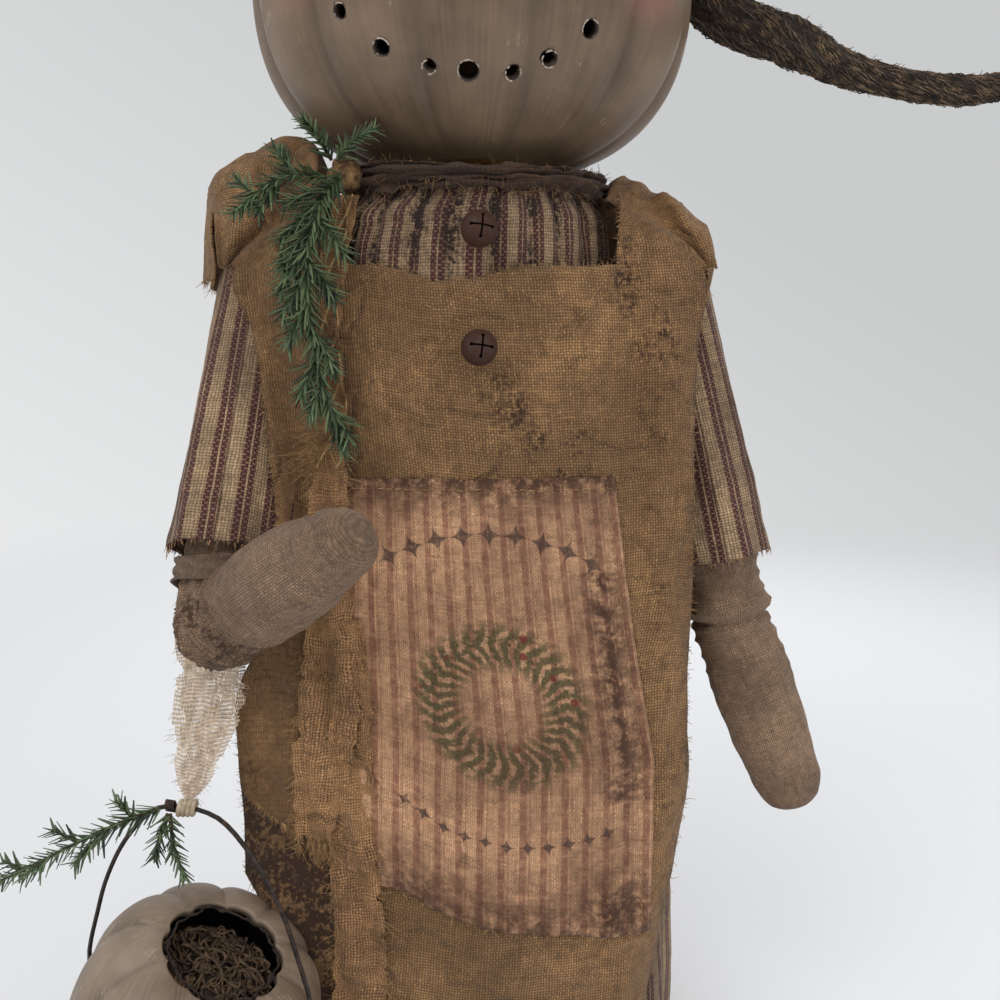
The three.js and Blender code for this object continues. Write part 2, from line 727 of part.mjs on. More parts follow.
function tunicPlace(i, j) {
  const top = j - frontHeights.length;
  const onTop = top >= 0 && top < topPhases.length;
  const onCap = i < capColumns || i > lastPanel;
  if (onTop) {
    const phase = topPhases[top];
    if (i < capColumns) return capPoint(arms[0], rightCapShares[i], phase);
    if (i > lastPanel) return capPoint(arms[1], leftCapShares[tunicColumns - i], phase);
    if (i <= capColumns + 1 || i >= lastPanel - 1) return strapPoint(i, phase);
    const [a, b] = [strapPoint(capColumns + 1, phase), strapPoint(lastPanel - 1, phase)];
    return a.lerp(b, (i - capColumns - 1) / (panelColumns - 3));
  }
  const front = j < frontHeights.length;
  const index = THREE.MathUtils.clamp(i - capColumns, 0, panelColumns - 1);
  const hem = front ? tunicHem + hemRise * hemRiseShares[index] : tunicBackHem;
  const share = front ? frontHeights[j] : backHeights[top - topPhases.length];
  const topHeight = front ? tunicNeckline : lipHeight - sleeveRadius;
  const height = THREE.MathUtils.lerp(hem, topHeight, share);
  const past = onCap ? (i < capColumns ? i - capColumns : i - lastPanel) * tunicEase : 0;
  const x = panelX(index, height) + past;
  return vector(x, (front ? -1 : 1) * tunicDepth(x, height), height);
}

function tunic() {
  const rows = frontHeights.length + topPhases.length + backHeights.length - 1;
  const keep = (i, j) => {
    const onTop = j >= frontHeights.length && j < frontHeights.length + topPhases.length - 1;
    const joining = j === frontHeights.length - 1 || j === frontHeights.length + topPhases.length - 1;
    const strap = i === capColumns || i === lastPanel - 1;
    if (onTop) return i <= capColumns || i >= lastPanel - 1;
    if (joining) return strap;
    return i >= capColumns && i < lastPanel;
  };
  add('tunic', sheet(tunicPlace, tunicColumns, rows, cloth, keep), colors.burlap);
}

// Sack panel on the tunic's front
const sackColumns = 9;
const sackRows = 8;
function sackPlace(i, j) {
  const down = j / sackRows;
  const across = (2 * i) / sackColumns - 1;
  const slant = Math.max(0, across) * sackSlantShare * down;
  const x = sackOffset + across * sackHalfWidth * (1 + sackFlareShare * down * Math.max(0, across) * (1 - down));
  const height = onBody(sackTopShare) - bodyHeight * sackDropShare * (down + slant);
  return vector(x, -tunicDepth(x, height) - cloth - clothGap * sackEaseShare, height);
}

// Greenery: a stem with whorls of needles that step in and out, along a path
function sprig(name, points, reach, whorls) {
  const sizeAt = (place) => {
    const whorl = place * whorls - Math.floor(place * whorls);
    const spread = Math.sin(Math.PI * THREE.MathUtils.lerp(sprigEndShare, 1, place));
    const radius = sprigStem + reach * spread * (1 - sprigStepShare * whorl);
    return [radius, radius * sprigThicknessShare];
  };
  add(name, strand(points, sizeAt, vector(1, 0, 0), sprigSides, whorls * 3), colors.green);
}

// Pumpkin: ribbed and squarish, from its lower end to its upper end. Grooves run from pole to pole.
const latitudes = [-74, -56, -40, -25, -10, 5, 20, 35, 50, 66];
function pumpkinRing({ halfWidth, halfDepth, halfHeight, lobes, groove, phase, sides }, latitude) {
  const level = Math.cos(radians(latitude)) ** (2 / pumpkinSquareness);
  const lift = Math.abs(Math.sin(radians(latitude))) ** (2 / pumpkinSquareness) * Math.sign(latitude);
  return Array.from({ length: sides }, (unused, k) => {
    const turn = (2 * Math.PI * k) / sides;
    const rib = groove * (1 - Math.abs(Math.sin((lobes * turn) / 2))) * level;
    const angle = turn + radians(phase) - Math.PI / 2;
    return vector(
      (halfWidth * level - rib) * Math.cos(angle),
      (halfDepth * level - rib) * Math.sin(angle),
      halfHeight * lift,
    );
  });
}
function pumpkin(shape) {
  const rings = latitudes.map((latitude) => pumpkinRing(shape, latitude));
  return loft(rings);
}

const headShape = {
  halfWidth: headHalfWidth,
  halfDepth: headHalfDepth,
  halfHeight: headHalfHeight,
  lobes: headLobes,
  groove: headGroove,
  phase: headGroovePhase,
  sides: headLobes * 3,
};
const within = (shape, by) => ({
  ...shape,
  halfWidth: shape.halfWidth - by,
  halfDepth: shape.halfDepth - by,
  halfHeight: shape.halfHeight - by,
  groove: 0,
});
const atHead = (geometry) => geometry.translate(headCentre.x, headCentre.y, headCentre.z);

// Place on the head's front from shares across and up
function facePoint(across, up) {
  const level = (1 - Math.abs(up) ** pumpkinSquareness) ** (1 / pumpkinSquareness);
  const back = -Math.sqrt(Math.max(0, level ** 2 - across ** 2));
  return vector(headHalfWidth * across, headHalfDepth * back, headHalfHeight * up).add(headCentre);
}
function head() {
  const drills = faceShares.map(([across, up, share]) => {
    const front = facePoint(across, up);
    const inward = headCentre.clone().sub(front).normalize();
    const start = front.clone().addScaledVector(inward, -headWall);
    const end = front.clone().addScaledVector(inward, headWall * 2 + overrun);
    return rod(start, end, faceHoleRadius * share, 10);
  });
  const hollow = { ...within(headShape, headWall), sides: headLobes * 2 };
  const floorHole = rod(vector(0, 0, bodyTop), vector(0, 0, headCentre.z), postRadius + clothGap);
  const seat = rod(vector(0, 0, headBottom + headWall), vector(0, 0, headCentre.z), headBlockRadius + gap, 20);
  add('pumpkin_head', carve(atHead(pumpkin(headShape)), atHead(pumpkin(hollow)), floorHole, seat, ...drills),
    colors.pumpkin, 0.7);

  const block = rod(vector(0, 0, blockBottom), vector(0, 0, blockBottom + headBlockHeight), headBlockRadius, 20);
  const bore = rod(vector(0, 0, blockBottom - overrun), vector(0, 0, postTop + gap), postRadius + runningGap);
  add('head_block', carve(block, bore), colors.wood, 0.8);
}

// Cap: a knitted crown over the head's top and a rolled cuff round its edge
const capLatitudes = latitudes.filter((latitude) => latitude >= capLatitude);
function capDome(by, below) {
  const shape = within(headShape, -by);
  const rings = capLatitudes.map((latitude) => pumpkinRing(shape, latitude));
  const edge = rings[0].map((point) => point.clone().setZ(point.z - below));
  const peak = vector(0, 0, headHalfHeight + by);
  return atHead(loft([...(below > 0 ? [edge] : []), ...rings], { endPole: peak }));
}
function cap() {
  const crown = carve(capDome(clothGap + capWall, 0), capDome(clothGap, overrun));
  add('cap_crown', crown, colors.wool, 1);
  const edgeRing = (height, by) => {
    const share = (height - headCentre.z) / headHalfHeight;
    const latitude = THREE.MathUtils.radToDeg(Math.asin(share ** (pumpkinSquareness / 2)));
    return pumpkinRing(within(headShape, -by), latitude).map((point) => point.setZ(height));
  };
  const edge = headCentre.z + pumpkinRing(headShape, capLatitude)[0].z;
  const inside = clothGap * 3 + capWall;
  const rings = [
    edgeRing(edge - cuffHeight / 3, inside),
    edgeRing(edge - cuffHeight / 3, inside + cuffThickness * 0.7),
    edgeRing(edge + cuffHeight / 6, inside + cuffThickness),
    edgeRing(edge + cuffHeight * 2 / 3, inside + cuffThickness * 0.7),
    edgeRing(edge + cuffHeight * 2 / 3, inside),
    edgeRing(edge + cuffHeight / 6, inside),
  ];
  add('cap_cuff', loft(rings, { loop: true }), colors.wool, 1);
}

// Cap tail: leaves the crown behind the left temple, falls past the head and kicks out on a wire
const tailPath = tailPathShares.map(([x, y, z]) => (
  vector(headHalfWidth * x, headHalfDepth * y, headHalfHeight * z).add(headCentre)
));
const tailHinge = tailPath[0];
const tailSteps = 22;
function tail() {
  const sizeAt = (place) => {
    const radius = tailRadius * listAt(tailRadiusShares, place);
    return [radius, radius];
  };
  const outer = strand(tailPath, sizeAt, vector(0, 1, 0), tailSides, tailSteps);
  const crowns = [tailRange[0], tailRange[1] / 2, tailRange[1]].map((degrees) => {
    const dome = capDome(clothGap + capWall + runningGap, headHalfHeight / 2);
    const back = new THREE.Matrix4().makeRotationAxis(vector(0, -1, 0), radians(-degrees));
    return dome.translate(-tailHinge.x, -tailHinge.y, -tailHinge.z)
      .applyMatrix4(back).translate(tailHinge.x, tailHinge.y, tailHinge.z);
  });
  const core = tailPath.slice(0, -1);
  const bore = wire(core, tailWireRadius + gap, 6, tailSteps);
  const boreEnd = ball(core.at(-1), tailWireRadius * 2, 8);
  add('cap_tail', carve(outer, bore, boreEnd, ...crowns), colors.wool, 1);
  add('tail_wire', carve(wire(core, tailWireRadius, 6, tailSteps), ...crowns), colors.wire, 0.5, 0.8);
}

// Jingle bell sewn on by its loop: shell with crossed slots, a loose pellet and the thread
function bell(name, height, clothDepth) {
  const standOff = bellLoopRadius + bellWire + gap;
  const loopCentre = vector(bellOffset, -clothDepth - standOff, height);
  const droop = new THREE.Matrix4().makeRotationX(radians(bellDroop));
  const middle = vector(0, -bellLoopRadius - bellRadius * 0.97, 0);
  const shell = new THREE.SphereGeometry(bellRadius, 16, 10).translate(middle.x, middle.y, middle.z);
  const loop = new THREE.TorusGeometry(bellLoopRadius, bellWire, 6, 12).rotateY(Math.PI / 2);
  const hollow = new THREE.SphereGeometry(bellRadius - bellWall, 16, 10).translate(middle.x, middle.y, middle.z);
  const reach = bellRadius * bellSlotShare;
  const slots = [[bellSlot, reach * 2], [reach * 2, bellSlot]].map(([across, tall]) => (
    new THREE.BoxGeometry(across, bellRadius, tall).translate(0, middle.y - bellRadius, 0)
  ));
  const body = carve(fuse(shell, loop), hollow, ...slots).applyMatrix4(droop);
  add(`${name}_bell`, body.translate(loopCentre.x, loopCentre.y, loopCentre.z), colors.rust, 0.8, 0.5);

  const centre = middle.applyMatrix4(droop).add(loopCentre);
  const hollowFloor = (bellRadius - bellWall) * Math.cos(Math.PI / 16) * Math.cos(Math.PI / 20);
  const pelletDrop = hollowFloor - pelletRadius - gap;
  const pellet = new THREE.SphereGeometry(pelletRadius, 8, 6).translate(centre.x, centre.y, centre.z - pelletDrop);
  add(`${name}_bell_pellet`, pellet, colors.rust, 0.8, 0.5);

  const spread = bellLoopRadius + bellWire;
  const back = -clothDepth - gap - threadRadius;
  const thread = wire([
    vector(loopCentre.x - spread * 2, back, height),
    vector(loopCentre.x - spread, loopCentre.y, height),
    vector(loopCentre.x, loopCentre.y, height),
    vector(loopCentre.x + spread, loopCentre.y, height),
    vector(loopCentre.x + spread * 2, back, height),
  ], threadRadius, 6, 12);
  add(`${name}_bell_thread`, thread, colors.cheesecloth);
}

// Hanger knot on the right upper arm, which the pail's height follows
const rightArm = arms[0];
const onRightArm = (share) => rightArm.pivot.clone().addScaledVector(rightArm.upper, upperArmLength * share);
const wrapInside = armRadius * upperArmShares.at(-2) + clothGap;
const wrapOutside = wrapInside + wrapThickness;
const armOutward = vector(-1, 0, 0).addScaledVector(rightArm.upper, rightArm.upper.x).normalize();
const hangerSide = armOutward.clone().applyAxisAngle(rightArm.upper, radians(hangerTurn));
const hangerKnot = onRightArm(hangerPlaceShare)
  .addScaledVector(hangerSide, wrapOutside + hangerKnotRadius * hangerKnotShare);
const pailHeight = hangerKnot.z - hangerLength - bailRise - earRise;

// Pail: a small pumpkin with an opening, hung by a bail from ears in its rim, on the skirt's right front
function besideSkirt() {
  const skirt = dressAt(pailHeight);
  const across = pailSideShare;
  const forward = (1 - across ** bodySquareness) ** (1 / bodySquareness);
  const normal = vector(
    -(across ** (bodySquareness - 1)) / skirt.width,
    -(forward ** (bodySquareness - 1)) / skirt.depth,
    0,
  ).normalize();
  const face = vector(skirt.lean - skirt.width * across, -skirt.depth * forward, pailHeight);
  return face.addScaledVector(normal, pailRadius + pailClearance);
}
const pailCentre = besideSkirt();
const pailAxis = fromShares(pailAxisShares);
const pailTilt = new THREE.Quaternion().setFromUnitVectors(vector(0, 0, 1), pailAxis);
const earLine = vector(Math.cos(radians(earTurn)), -Math.sin(radians(earTurn)), 0);
const earCentre = pailCentre.clone().add(vector(0, 0, earRise));
const bailTop = earCentre.clone().add(vector(0, 0, bailRise));
const pailShape = {
  halfWidth: pailRadius,
  halfDepth: pailRadius,
  halfHeight: pailHalfHeight,
  lobes: pailLobes,
  groove: pailGroove,
  phase: headGroovePhase,
  sides: pailLobes * 3,
};
const atPail = (geometry) => geometry.applyQuaternion(pailTilt).translate(pailCentre.x, pailCentre.y, pailCentre.z);
const onEarLine = (share, up = 0) => (
  earCentre.clone().addScaledVector(earLine, pailRadius * share).add(vector(0, 0, up))
);

function pail() {
  const hollowShape = { ...within(pailShape, pailWall), sides: pailLobes * 2 };
  const top = vector(0, 0, pailHalfHeight + overrun);
  const opening = atPail(rod(vector(0, 0, 0), top, pailOpeningRadius, 18));
  const eyes = pailEyeTurns.map((turn) => {
    const level = Math.sqrt(1 - pailEyeShare ** 2);
    const direction = vector(level * Math.sin(radians(turn)), -level * Math.cos(radians(turn)), pailEyeShare);
    return atPail(rod(direction.clone().multiplyScalar(pailHalfHeight / 2),
      direction.clone().multiplyScalar(pailRadius + overrun), pailEyeRadius, 10));
  });
  const earHole = rod(onEarLine(-1 - bailWire / pailRadius), onEarLine(1 + bailWire / pailRadius),
    bailWire + runningGap, 8);
  add('pail_shell', carve(atPail(pumpkin(pailShape)), atPail(pumpkin(hollowShape)), opening, earHole, ...eyes),
    colors.pumpkin, 0.7);

  const relief = pailRadius * mossReliefShare;
  const nest = within(hollowShape, 0);
  const low = latitudes.filter((latitude) => latitude <= 5)
    .map((latitude) => pumpkinRing(nest, latitude).map((point) => (
      point.multiplyScalar(1 - gap / pailHalfHeight * 2).multiply(vector(1 - relief / pailRadius, 1 - relief / pailRadius, 1))
    )));
  const equator = pumpkinRing(nest, 0);
  const heap = mossTopShares.map(([across, up]) => equator.map((point, k) => (
    vector(point.x * across, point.y * across, pailHalfHeight * up + (k % 2) * relief / 3)
  )));
  const peak = vector(0, 0, pailHalfHeight * mossPeakShare);
  add('pail_moss', atPail(loft([...low, ...heap], { endPole: peak })), colors.moss, 1);

  const half = bailShares.map(([out, up]) => onEarLine(out, bailRise * up));
  const otherHalf = bailShares.map(([out, up]) => onEarLine(-out, bailRise * up)).reverse();
  const bailPath = [...half, ...otherHalf];
  add('pail_bail', wire(bailPath, bailWire, 6, bailSteps), colors.wire, 0.5, 0.8);

  return bailPath;
}
const beadPlace = bailTop.clone().addScaledVector(earLine, -hangerKnotRadius - beadRadius - clothGap);

// Hanger: gauze wrapped round the right upper arm, its knot, and the length that holds the bail
function hanger() {
  const half = wrapWidth / 2 / upperArmLength;
  const [start, end] = [onRightArm(hangerPlaceShare - half), onRightArm(hangerPlaceShare + half)];
  const extra = rightArm.upper.clone().multiplyScalar(overrun);
  const bore = rod(start.clone().sub(extra), end.clone().add(extra), wrapInside);
  const reach = sweepOf(rightArm.elbowRange).map((degrees) => (
    rod(rightArm.elbow, turned(rightArm.hand, rightArm, degrees), armRadius * Math.max(...forearmShares) + clothGap)
  ));
  const knot = hangerKnot;
  const wrap = fuse(rod(start, end, wrapOutside), ball(knot, hangerKnotRadius));
  add('hanger_wrap', carve(wrap, bore, ...reach), colors.gauze);

  const span = bailTop.clone().sub(knot);
  const path = [
    knot,
    knot.clone().add(vector(0, span.y * 0.1, span.z * 0.28)),
    knot.clone().add(vector(span.x * 0.35, span.y * 0.4, span.z * 0.55)),
    bailTop.clone().add(vector(0, 0, hangerKnotRadius * 2.5)),
    bailTop,
  ];
  const sizeAt = (place) => {
    const spread = Math.sin(Math.PI * THREE.MathUtils.clamp((place - 0.25) / 0.65, 0, 1));
    return [hangerThickness * 1.4 + (hangerWidth - hangerThickness) * spread, hangerThickness * (2 - spread)];
  };
  const strip = fuse(strand(path, sizeAt, vector(1, 0, 0), 8, 14), ball(bailTop, hangerKnotRadius));
  const wireHole = rod(
    bailTop.clone().addScaledVector(earLine, -hangerKnotRadius * 2),
    bailTop.clone().addScaledVector(earLine, hangerKnotRadius * 2),
    bailWire + clothGap,
    8,
  );
  add('hanger_strip', carve(strip, ball(knot, clearOf(hangerKnotRadius, 12)), wireHole), colors.gauze);
}

// Tie tail: hangs from the neck knot over the tunic's right front
function tieTail() {
  const start = knotPlace.z - tieKnotRadius - gap;
  const place = (i, j) => {
    const down = j / tieTailRows;
    const height = THREE.MathUtils.lerp(start, tieTailEnd, down);
    const middle = knotPlace.x * tableAt(tieTailPathShares, down, 1);
    const x = middle + ((2 * i) / tieTailColumns - 1) * tieTailWidth * tableAt(tieTailShares, down, 1);
    const ripple = cloth * Math.sin(Math.PI * i / 2 + down * Math.PI * 6);
    const front = -tunicDepth(x, Math.min(height, tunicNeckline)) - cloth * tieTailLayers + ripple / 2;
    const fall = THREE.MathUtils.smoothstep(start - height, 0, tieKnotRadius * 4);
    return vector(x, THREE.MathUtils.lerp(knotPlace.y - tieKnotRadius / 4, front, fall), height);
  };
  add('tie_tail', sheet(place, tieTailColumns, tieTailRows, cloth), colors.cheesecloth);
}

base();
post();
body();
dress();
neckTie();
shoulderCord();
arms.forEach(arm);
tunic();
add('sack_panel', sheet(sackPlace, sackColumns, sackRows, cloth), colors.sack);
head();
cap();
tail();
bell('upper', upperBellHeight, dressAt(upperBellHeight).depth);
bell('lower', lowerBellHeight, tunicDepth(bellOffset, lowerBellHeight) + cloth / 2);
const bailPath = pail();
hanger();
tieTail();

// Paths of the greenery, in radii of the knot or bead that holds it
const pathFrom = (centre, unit, shares) => shares.map(([x, y, z]) => (
  centre.clone().add(vector(x, y, z).multiplyScalar(unit))
));
const neckSprigShares = [[-0.1, -1.12, -0.1], [-0.5, -2.6, -2], [-0.4, -3.3, -5], [-0.2, -3.4, -9], [0, -3.4, -13]];
const sideSprigShares = [[-1.02, -0.35, -0.1], [-3, -1.6, -0.4], [-5.2, -2.4, -2.2]];
const crownSprigShares = [[-0.62, -0.6, 0.62], [-1.2, -1.4, 1.6], [-1.8, -1.9, 2.3]];
const pailSprigShares = [[-1.1, -0.62, 0.1], [-8, -4.5, -1.5], [-17, -5, -6], [-25.5, -4, -10.5]];
const shortSprigShares = [[0.1, -0.85, -0.8], [1.5, -4, -4], [3.4, -5.6, -7.6]];
sprig('neck_sprig', pathFrom(knotPlace, tieKnotRadius, neckSprigShares), sprigRadius, 9);
sprig('neck_sprig_side', pathFrom(knotPlace, tieKnotRadius, sideSprigShares), sprigRadius * 2 / 3, 4);
sprig('neck_sprig_crown', pathFrom(knotPlace, tieKnotRadius, crownSprigShares), sprigRadius / 2, 2);
const bailGroove = wire(bailPath, bailWire + gap, 6, bailSteps);
add('sprig_tie', carve(ball(beadPlace, beadRadius), bailGroove), colors.wire, 0.5, 0.8);
sprig('pail_sprig', pathFrom(beadPlace, beadRadius, pailSprigShares), sprigRadius, 8);
sprig('pail_sprig_short', pathFrom(beadPlace, beadRadius, shortSprigShares), sprigRadius / 2, 3);

export default group;
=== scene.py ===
# %% [markdown]
# # A folk art doll with a pumpkin head
# The doll is cloth over a post: striped dress, coarse tunic, stuffed arms, a craft pumpkin for a head and a small
# pumpkin pail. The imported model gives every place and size. This script loads it, then dresses each soft solid in a
# finer piece and gives every surface a node-based finish.

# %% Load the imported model
import random
from functools import partialmethod
from math import asin, atan2, copysign, cos, exp, hypot, pi, radians, sin, sqrt

import bmesh
import bpy
from mathutils import Matrix, Vector, noise


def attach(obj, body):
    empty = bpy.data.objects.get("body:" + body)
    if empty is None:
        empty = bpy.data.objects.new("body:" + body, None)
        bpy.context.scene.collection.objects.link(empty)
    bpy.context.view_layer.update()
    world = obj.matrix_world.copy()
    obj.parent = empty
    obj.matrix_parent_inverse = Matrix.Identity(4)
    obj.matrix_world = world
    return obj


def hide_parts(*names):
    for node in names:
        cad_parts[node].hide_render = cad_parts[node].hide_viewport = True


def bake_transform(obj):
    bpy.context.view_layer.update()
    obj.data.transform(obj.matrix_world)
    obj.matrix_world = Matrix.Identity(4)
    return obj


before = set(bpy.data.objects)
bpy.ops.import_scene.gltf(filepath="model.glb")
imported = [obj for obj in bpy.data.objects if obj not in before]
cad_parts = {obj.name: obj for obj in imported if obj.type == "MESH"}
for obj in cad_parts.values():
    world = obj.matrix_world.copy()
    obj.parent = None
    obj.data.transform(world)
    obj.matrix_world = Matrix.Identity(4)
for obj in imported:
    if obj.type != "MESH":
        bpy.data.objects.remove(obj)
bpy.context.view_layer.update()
scene = bpy.context.scene
mm = 0.001


def clamp(value):
    return max(0.0, min(1.0, value))


def ease(share):
    """0 to 1 with a soft start and end."""
    return share * share * (3 - 2 * share)


def hill(distance):
    """1 at no distance, and nearly 0 past a distance of 2."""
    return exp(-distance**2)


def beside(way):
    """Two directions at right angles to a unit direction and to each other."""
    first = (Vector((1, 0, 0)) - way * way.x).normalized()
    return first, way.cross(first)


# %% [markdown]
# ## Camera
# The photograph is taken close to the doll with a wide lens, a little above the waist and tilted down by 8 degrees.
# A 36 mm lens on a 36 mm sensor gives the same frame.

# %% Camera
camera_data = bpy.data.cameras.new("camera")
camera_data.lens = 36
camera_data.sensor_width = 36
camera_data.clip_start = 0.01
camera = bpy.data.objects.new("camera", camera_data)
camera.location = (0.013, -0.515, 0.380)
camera.rotation_euler = (radians(82), 0, 0)
scene.collection.objects.link(camera)
scene.camera = camera

# %% [markdown]
# ## Floor and light
# The pale floor fades into a pale backdrop of painted light that the camera and mirrors see and that doesn't light the
# cloth.
# A broad soft lamp above the camera's left and a weaker one at the right model the folds, and a third one behind the
# doll lights its edges.

# %% Floor, world and lamps
class Shader:
    """A node tree with a short call for each kind of node that the finishes use."""

    def __init__(self, tree):
        self.tree = tree

    @classmethod
    def of(cls, owner):
        """The emptied node tree of a material or world."""
        owner.use_nodes = True
        owner.node_tree.nodes.clear()
        return cls(owner.node_tree)

    def put(self, kind, values=None, **settings):
        """Add a node. Each value is linked when it is a socket, and set otherwise."""
        node = self.tree.nodes.new(kind)
        for name, value in settings.items():
            setattr(node, name, value)
        for socket, value in (values or {}).items():
            if isinstance(value, bpy.types.NodeSocket):
                self.tree.links.new(value, node.inputs[socket])
            else:
                node.inputs[socket].default_value = value
        return node

    def reckon(self, operation, a, b=0.0, c=0.0, clamp=False):
        return self.put("ShaderNodeMath", {0: a, 1: b, 2: c}, operation=operation, use_clamp=clamp).outputs[0]

    plus = partialmethod(reckon, "ADD")
    minus = partialmethod(reckon, "SUBTRACT")
    times = partialmethod(reckon, "MULTIPLY")
    times_plus = partialmethod(reckon, "MULTIPLY_ADD")
    over = partialmethod(reckon, "DIVIDE")
    most = partialmethod(reckon, "MAXIMUM")
    least = partialmethod(reckon, "MINIMUM")
    absolute = partialmethod(reckon, "ABSOLUTE")
    power = partialmethod(reckon, "POWER")
    root = partialmethod(reckon, "SQRT")
    floor = partialmethod(reckon, "FLOOR")
    fraction = partialmethod(reckon, "FRACT")
    sine = partialmethod(reckon, "SINE")
    cosine = partialmethod(reckon, "COSINE")
    angle = partialmethod(reckon, "ARCTAN2")
    above = partialmethod(reckon, "GREATER_THAN")
    below = partialmethod(reckon, "LESS_THAN")

    def vector(self, operation, a, b=(0, 0, 0), output=0):
        return self.put("ShaderNodeVectorMath", {0: a, 1: b}, operation=operation).outputs[output]

    def scaled(self, a, share):
        return self.put("ShaderNodeVectorMath", {0: a, "Scale": share}, operation="SCALE").outputs[0]

    def split(self, vector):
        return self.put("ShaderNodeSeparateXYZ", {0: vector}).outputs

    def join(self, x=0.0, y=0.0, z=0.0):
        return self.put("ShaderNodeCombineXYZ", {0: x, 1: y, 2: z}).outputs[0]

    def mix(self, share, first, second):
        return self.put("ShaderNodeMix", {0: share, 2: first, 3: second}, data_type="FLOAT").outputs[0]

    def blend(self, share, first, second, way="MIX"):
        """Mix two colours."""
        node = self.put("ShaderNodeMix", {0: share, 6: first, 7: second}, data_type="RGBA", blend_type=way)
        return node.outputs[2]

    def spread(self, value, low, high, to_low=0.0, to_high=1.0, way="LINEAR"):
        """Map the range from low to high to another range."""
        values = {0: value, 1: low, 2: high, 3: to_low, 4: to_high}
        return self.put("ShaderNodeMapRange", values, interpolation_type=way).outputs[0]

    def noise(self, vector, scale, detail=3.0, roughness=0.55):
        values = {"Vector": vector, "Scale": scale, "Detail": detail, "Roughness": roughness}
        return self.put("ShaderNodeTexNoise", values).outputs[0]

    def place(self):
        """Object coordinates, in metres."""
        return self.put("ShaderNodeTexCoord").outputs["Object"]

    def attribute(self, name):
        return self.put("ShaderNodeAttribute", attribute_name=name).outputs["Fac"]

    def bump(self, strength, distance, height, **more):
        values = {"Strength": strength, "Distance": distance, "Height": height}
        return self.put("ShaderNodeBump", values | more).outputs[0]

    def stains(self, place, size, amount):
        """The grime group at a place, with its Stain and Speck outputs."""
        values = {"Place": place, "Size": size, "Amount": amount}
        return self.put("ShaderNodeGroup", values, node_tree=grime.tree).outputs

    def surface(self, color, roughness, **more):
        """Close a material with a Principled shader."""
        values = {"Base Color": color, "Roughness": roughness}
        values |= {name.replace("_", " "): value for name, value in more.items()}
        face = self.put("ShaderNodeBsdfPrincipled", values)
        self.put("ShaderNodeOutputMaterial", {"Surface": face.outputs[0]})


def new_finish(name):
    """A material with an empty node tree, and its shader."""
    finish = bpy.data.materials.new(name)
    return finish, Shader.of(finish)


def add_object(name, data):
    made = bpy.data.objects.new(name, data)
    scene.collection.objects.link(made)
    return made


def mesh_from(shape, name):
    """Turn a bmesh into a mesh, and free it."""
    data = bpy.data.meshes.new(name)
    shape.to_mesh(data)
    shape.free()
    return data


def baked(made):
    """The mesh of an object with its modifiers applied."""
    return bpy.data.meshes.new_from_object(made.evaluated_get(bpy.context.evaluated_depsgraph_get()))


world = bpy.data.worlds.new("studio")
scene.world = world
studio = Shader.of(world)
path = studio.put("ShaderNodeLightPath").outputs
seen = studio.most(path["Is Camera Ray"], path["Is Glossy Ray"])
seen = studio.most(seen, path["Is Transmission Ray"])
toward = studio.split(studio.put("ShaderNodeTexCoord").outputs["Generated"])
# Painted light: the backdrop is brighter at the left and low down, as the camera and mirrors see it.
backdrop_painted_light = studio.times_plus(toward[0], -0.19, 0.69)
backdrop_painted_light = studio.times_plus(toward[2], -0.30, backdrop_painted_light)
backdrop_painted_light = studio.least(studio.most(backdrop_painted_light, 0.6), 0.85)
unseen_light = 0.6
strength = studio.mix(seen, unseen_light, backdrop_painted_light)
sky = studio.put("ShaderNodeBackground", {"Color": (0.98, 0.99, 1.0, 1.0), "Strength": strength})
studio.put("ShaderNodeOutputWorld", {"Surface": sky.outputs[0]})

shape = bmesh.new()
bmesh.ops.create_grid(shape, x_segments=1, y_segments=1, size=3)
floor = add_object("floor", mesh_from(shape, "floor"))
paint, tree = new_finish("pale_floor")
away = tree.vector("LENGTH", tree.place(), output=1)
fade_start, fade_end = 0.55, 2.2
near = tree.spread(away, fade_start, fade_end, 1.0, 0.0, "SMOOTHERSTEP")
tree.surface((0.86, 0.87, 0.89, 1), 0.7, Alpha=near)
floor.data.materials.append(paint)


def lamp(name, place, target, size, watts):
    data = bpy.data.lights.new(name, "AREA")
    data.size = size
    data.energy = watts
    lamp_object = bpy.data.objects.new(name, data)
    lamp_object.location = place
    aim = Vector(target) - Vector(place)
    lamp_object.rotation_euler = aim.to_track_quat("-Z", "Y").to_euler()
    scene.collection.objects.link(lamp_object)


lamp("key", (-0.7, -1.2, 1.6), (0, 0, 0.35), 1.1, 11)
lamp("fill", (1.1, -0.9, 0.9), (0, 0, 0.3), 1.2, 4)
lamp("back", (0.3, 1.3, 1.4), (0, 0, 0.4), 1.4, 11)
scene.view_settings.view_transform = "Standard"

# %% [markdown]
# ## Shared effects
# Every cloth on the doll is a plain weave, so the weave is one node group: two sets of threads that pass over and
# under each other, with a thickness of their own along each thread. It reads the piece's own UV map, which is laid
# out in metres, so a thread keeps its real size on every piece. A second group makes the tea stains and grime.

# %% Node groups
number, place_kind = "NodeSocketFloat", "NodeSocketVector"


def new_group(name, inputs, outputs):
    """An empty node group, as its shader and the sockets that enter it."""
    group = bpy.data.node_groups.new(name, "ShaderNodeTree")
    for label, kind, value in inputs:
        socket = group.interface.new_socket(label, in_out="INPUT", socket_type=kind)
        if value is not None:
            socket.default_value = value
    for label in outputs:
        group.interface.new_socket(label, in_out="OUTPUT", socket_type=number)
    shader = Shader(group)
    return shader, shader.put("NodeGroupInput").outputs


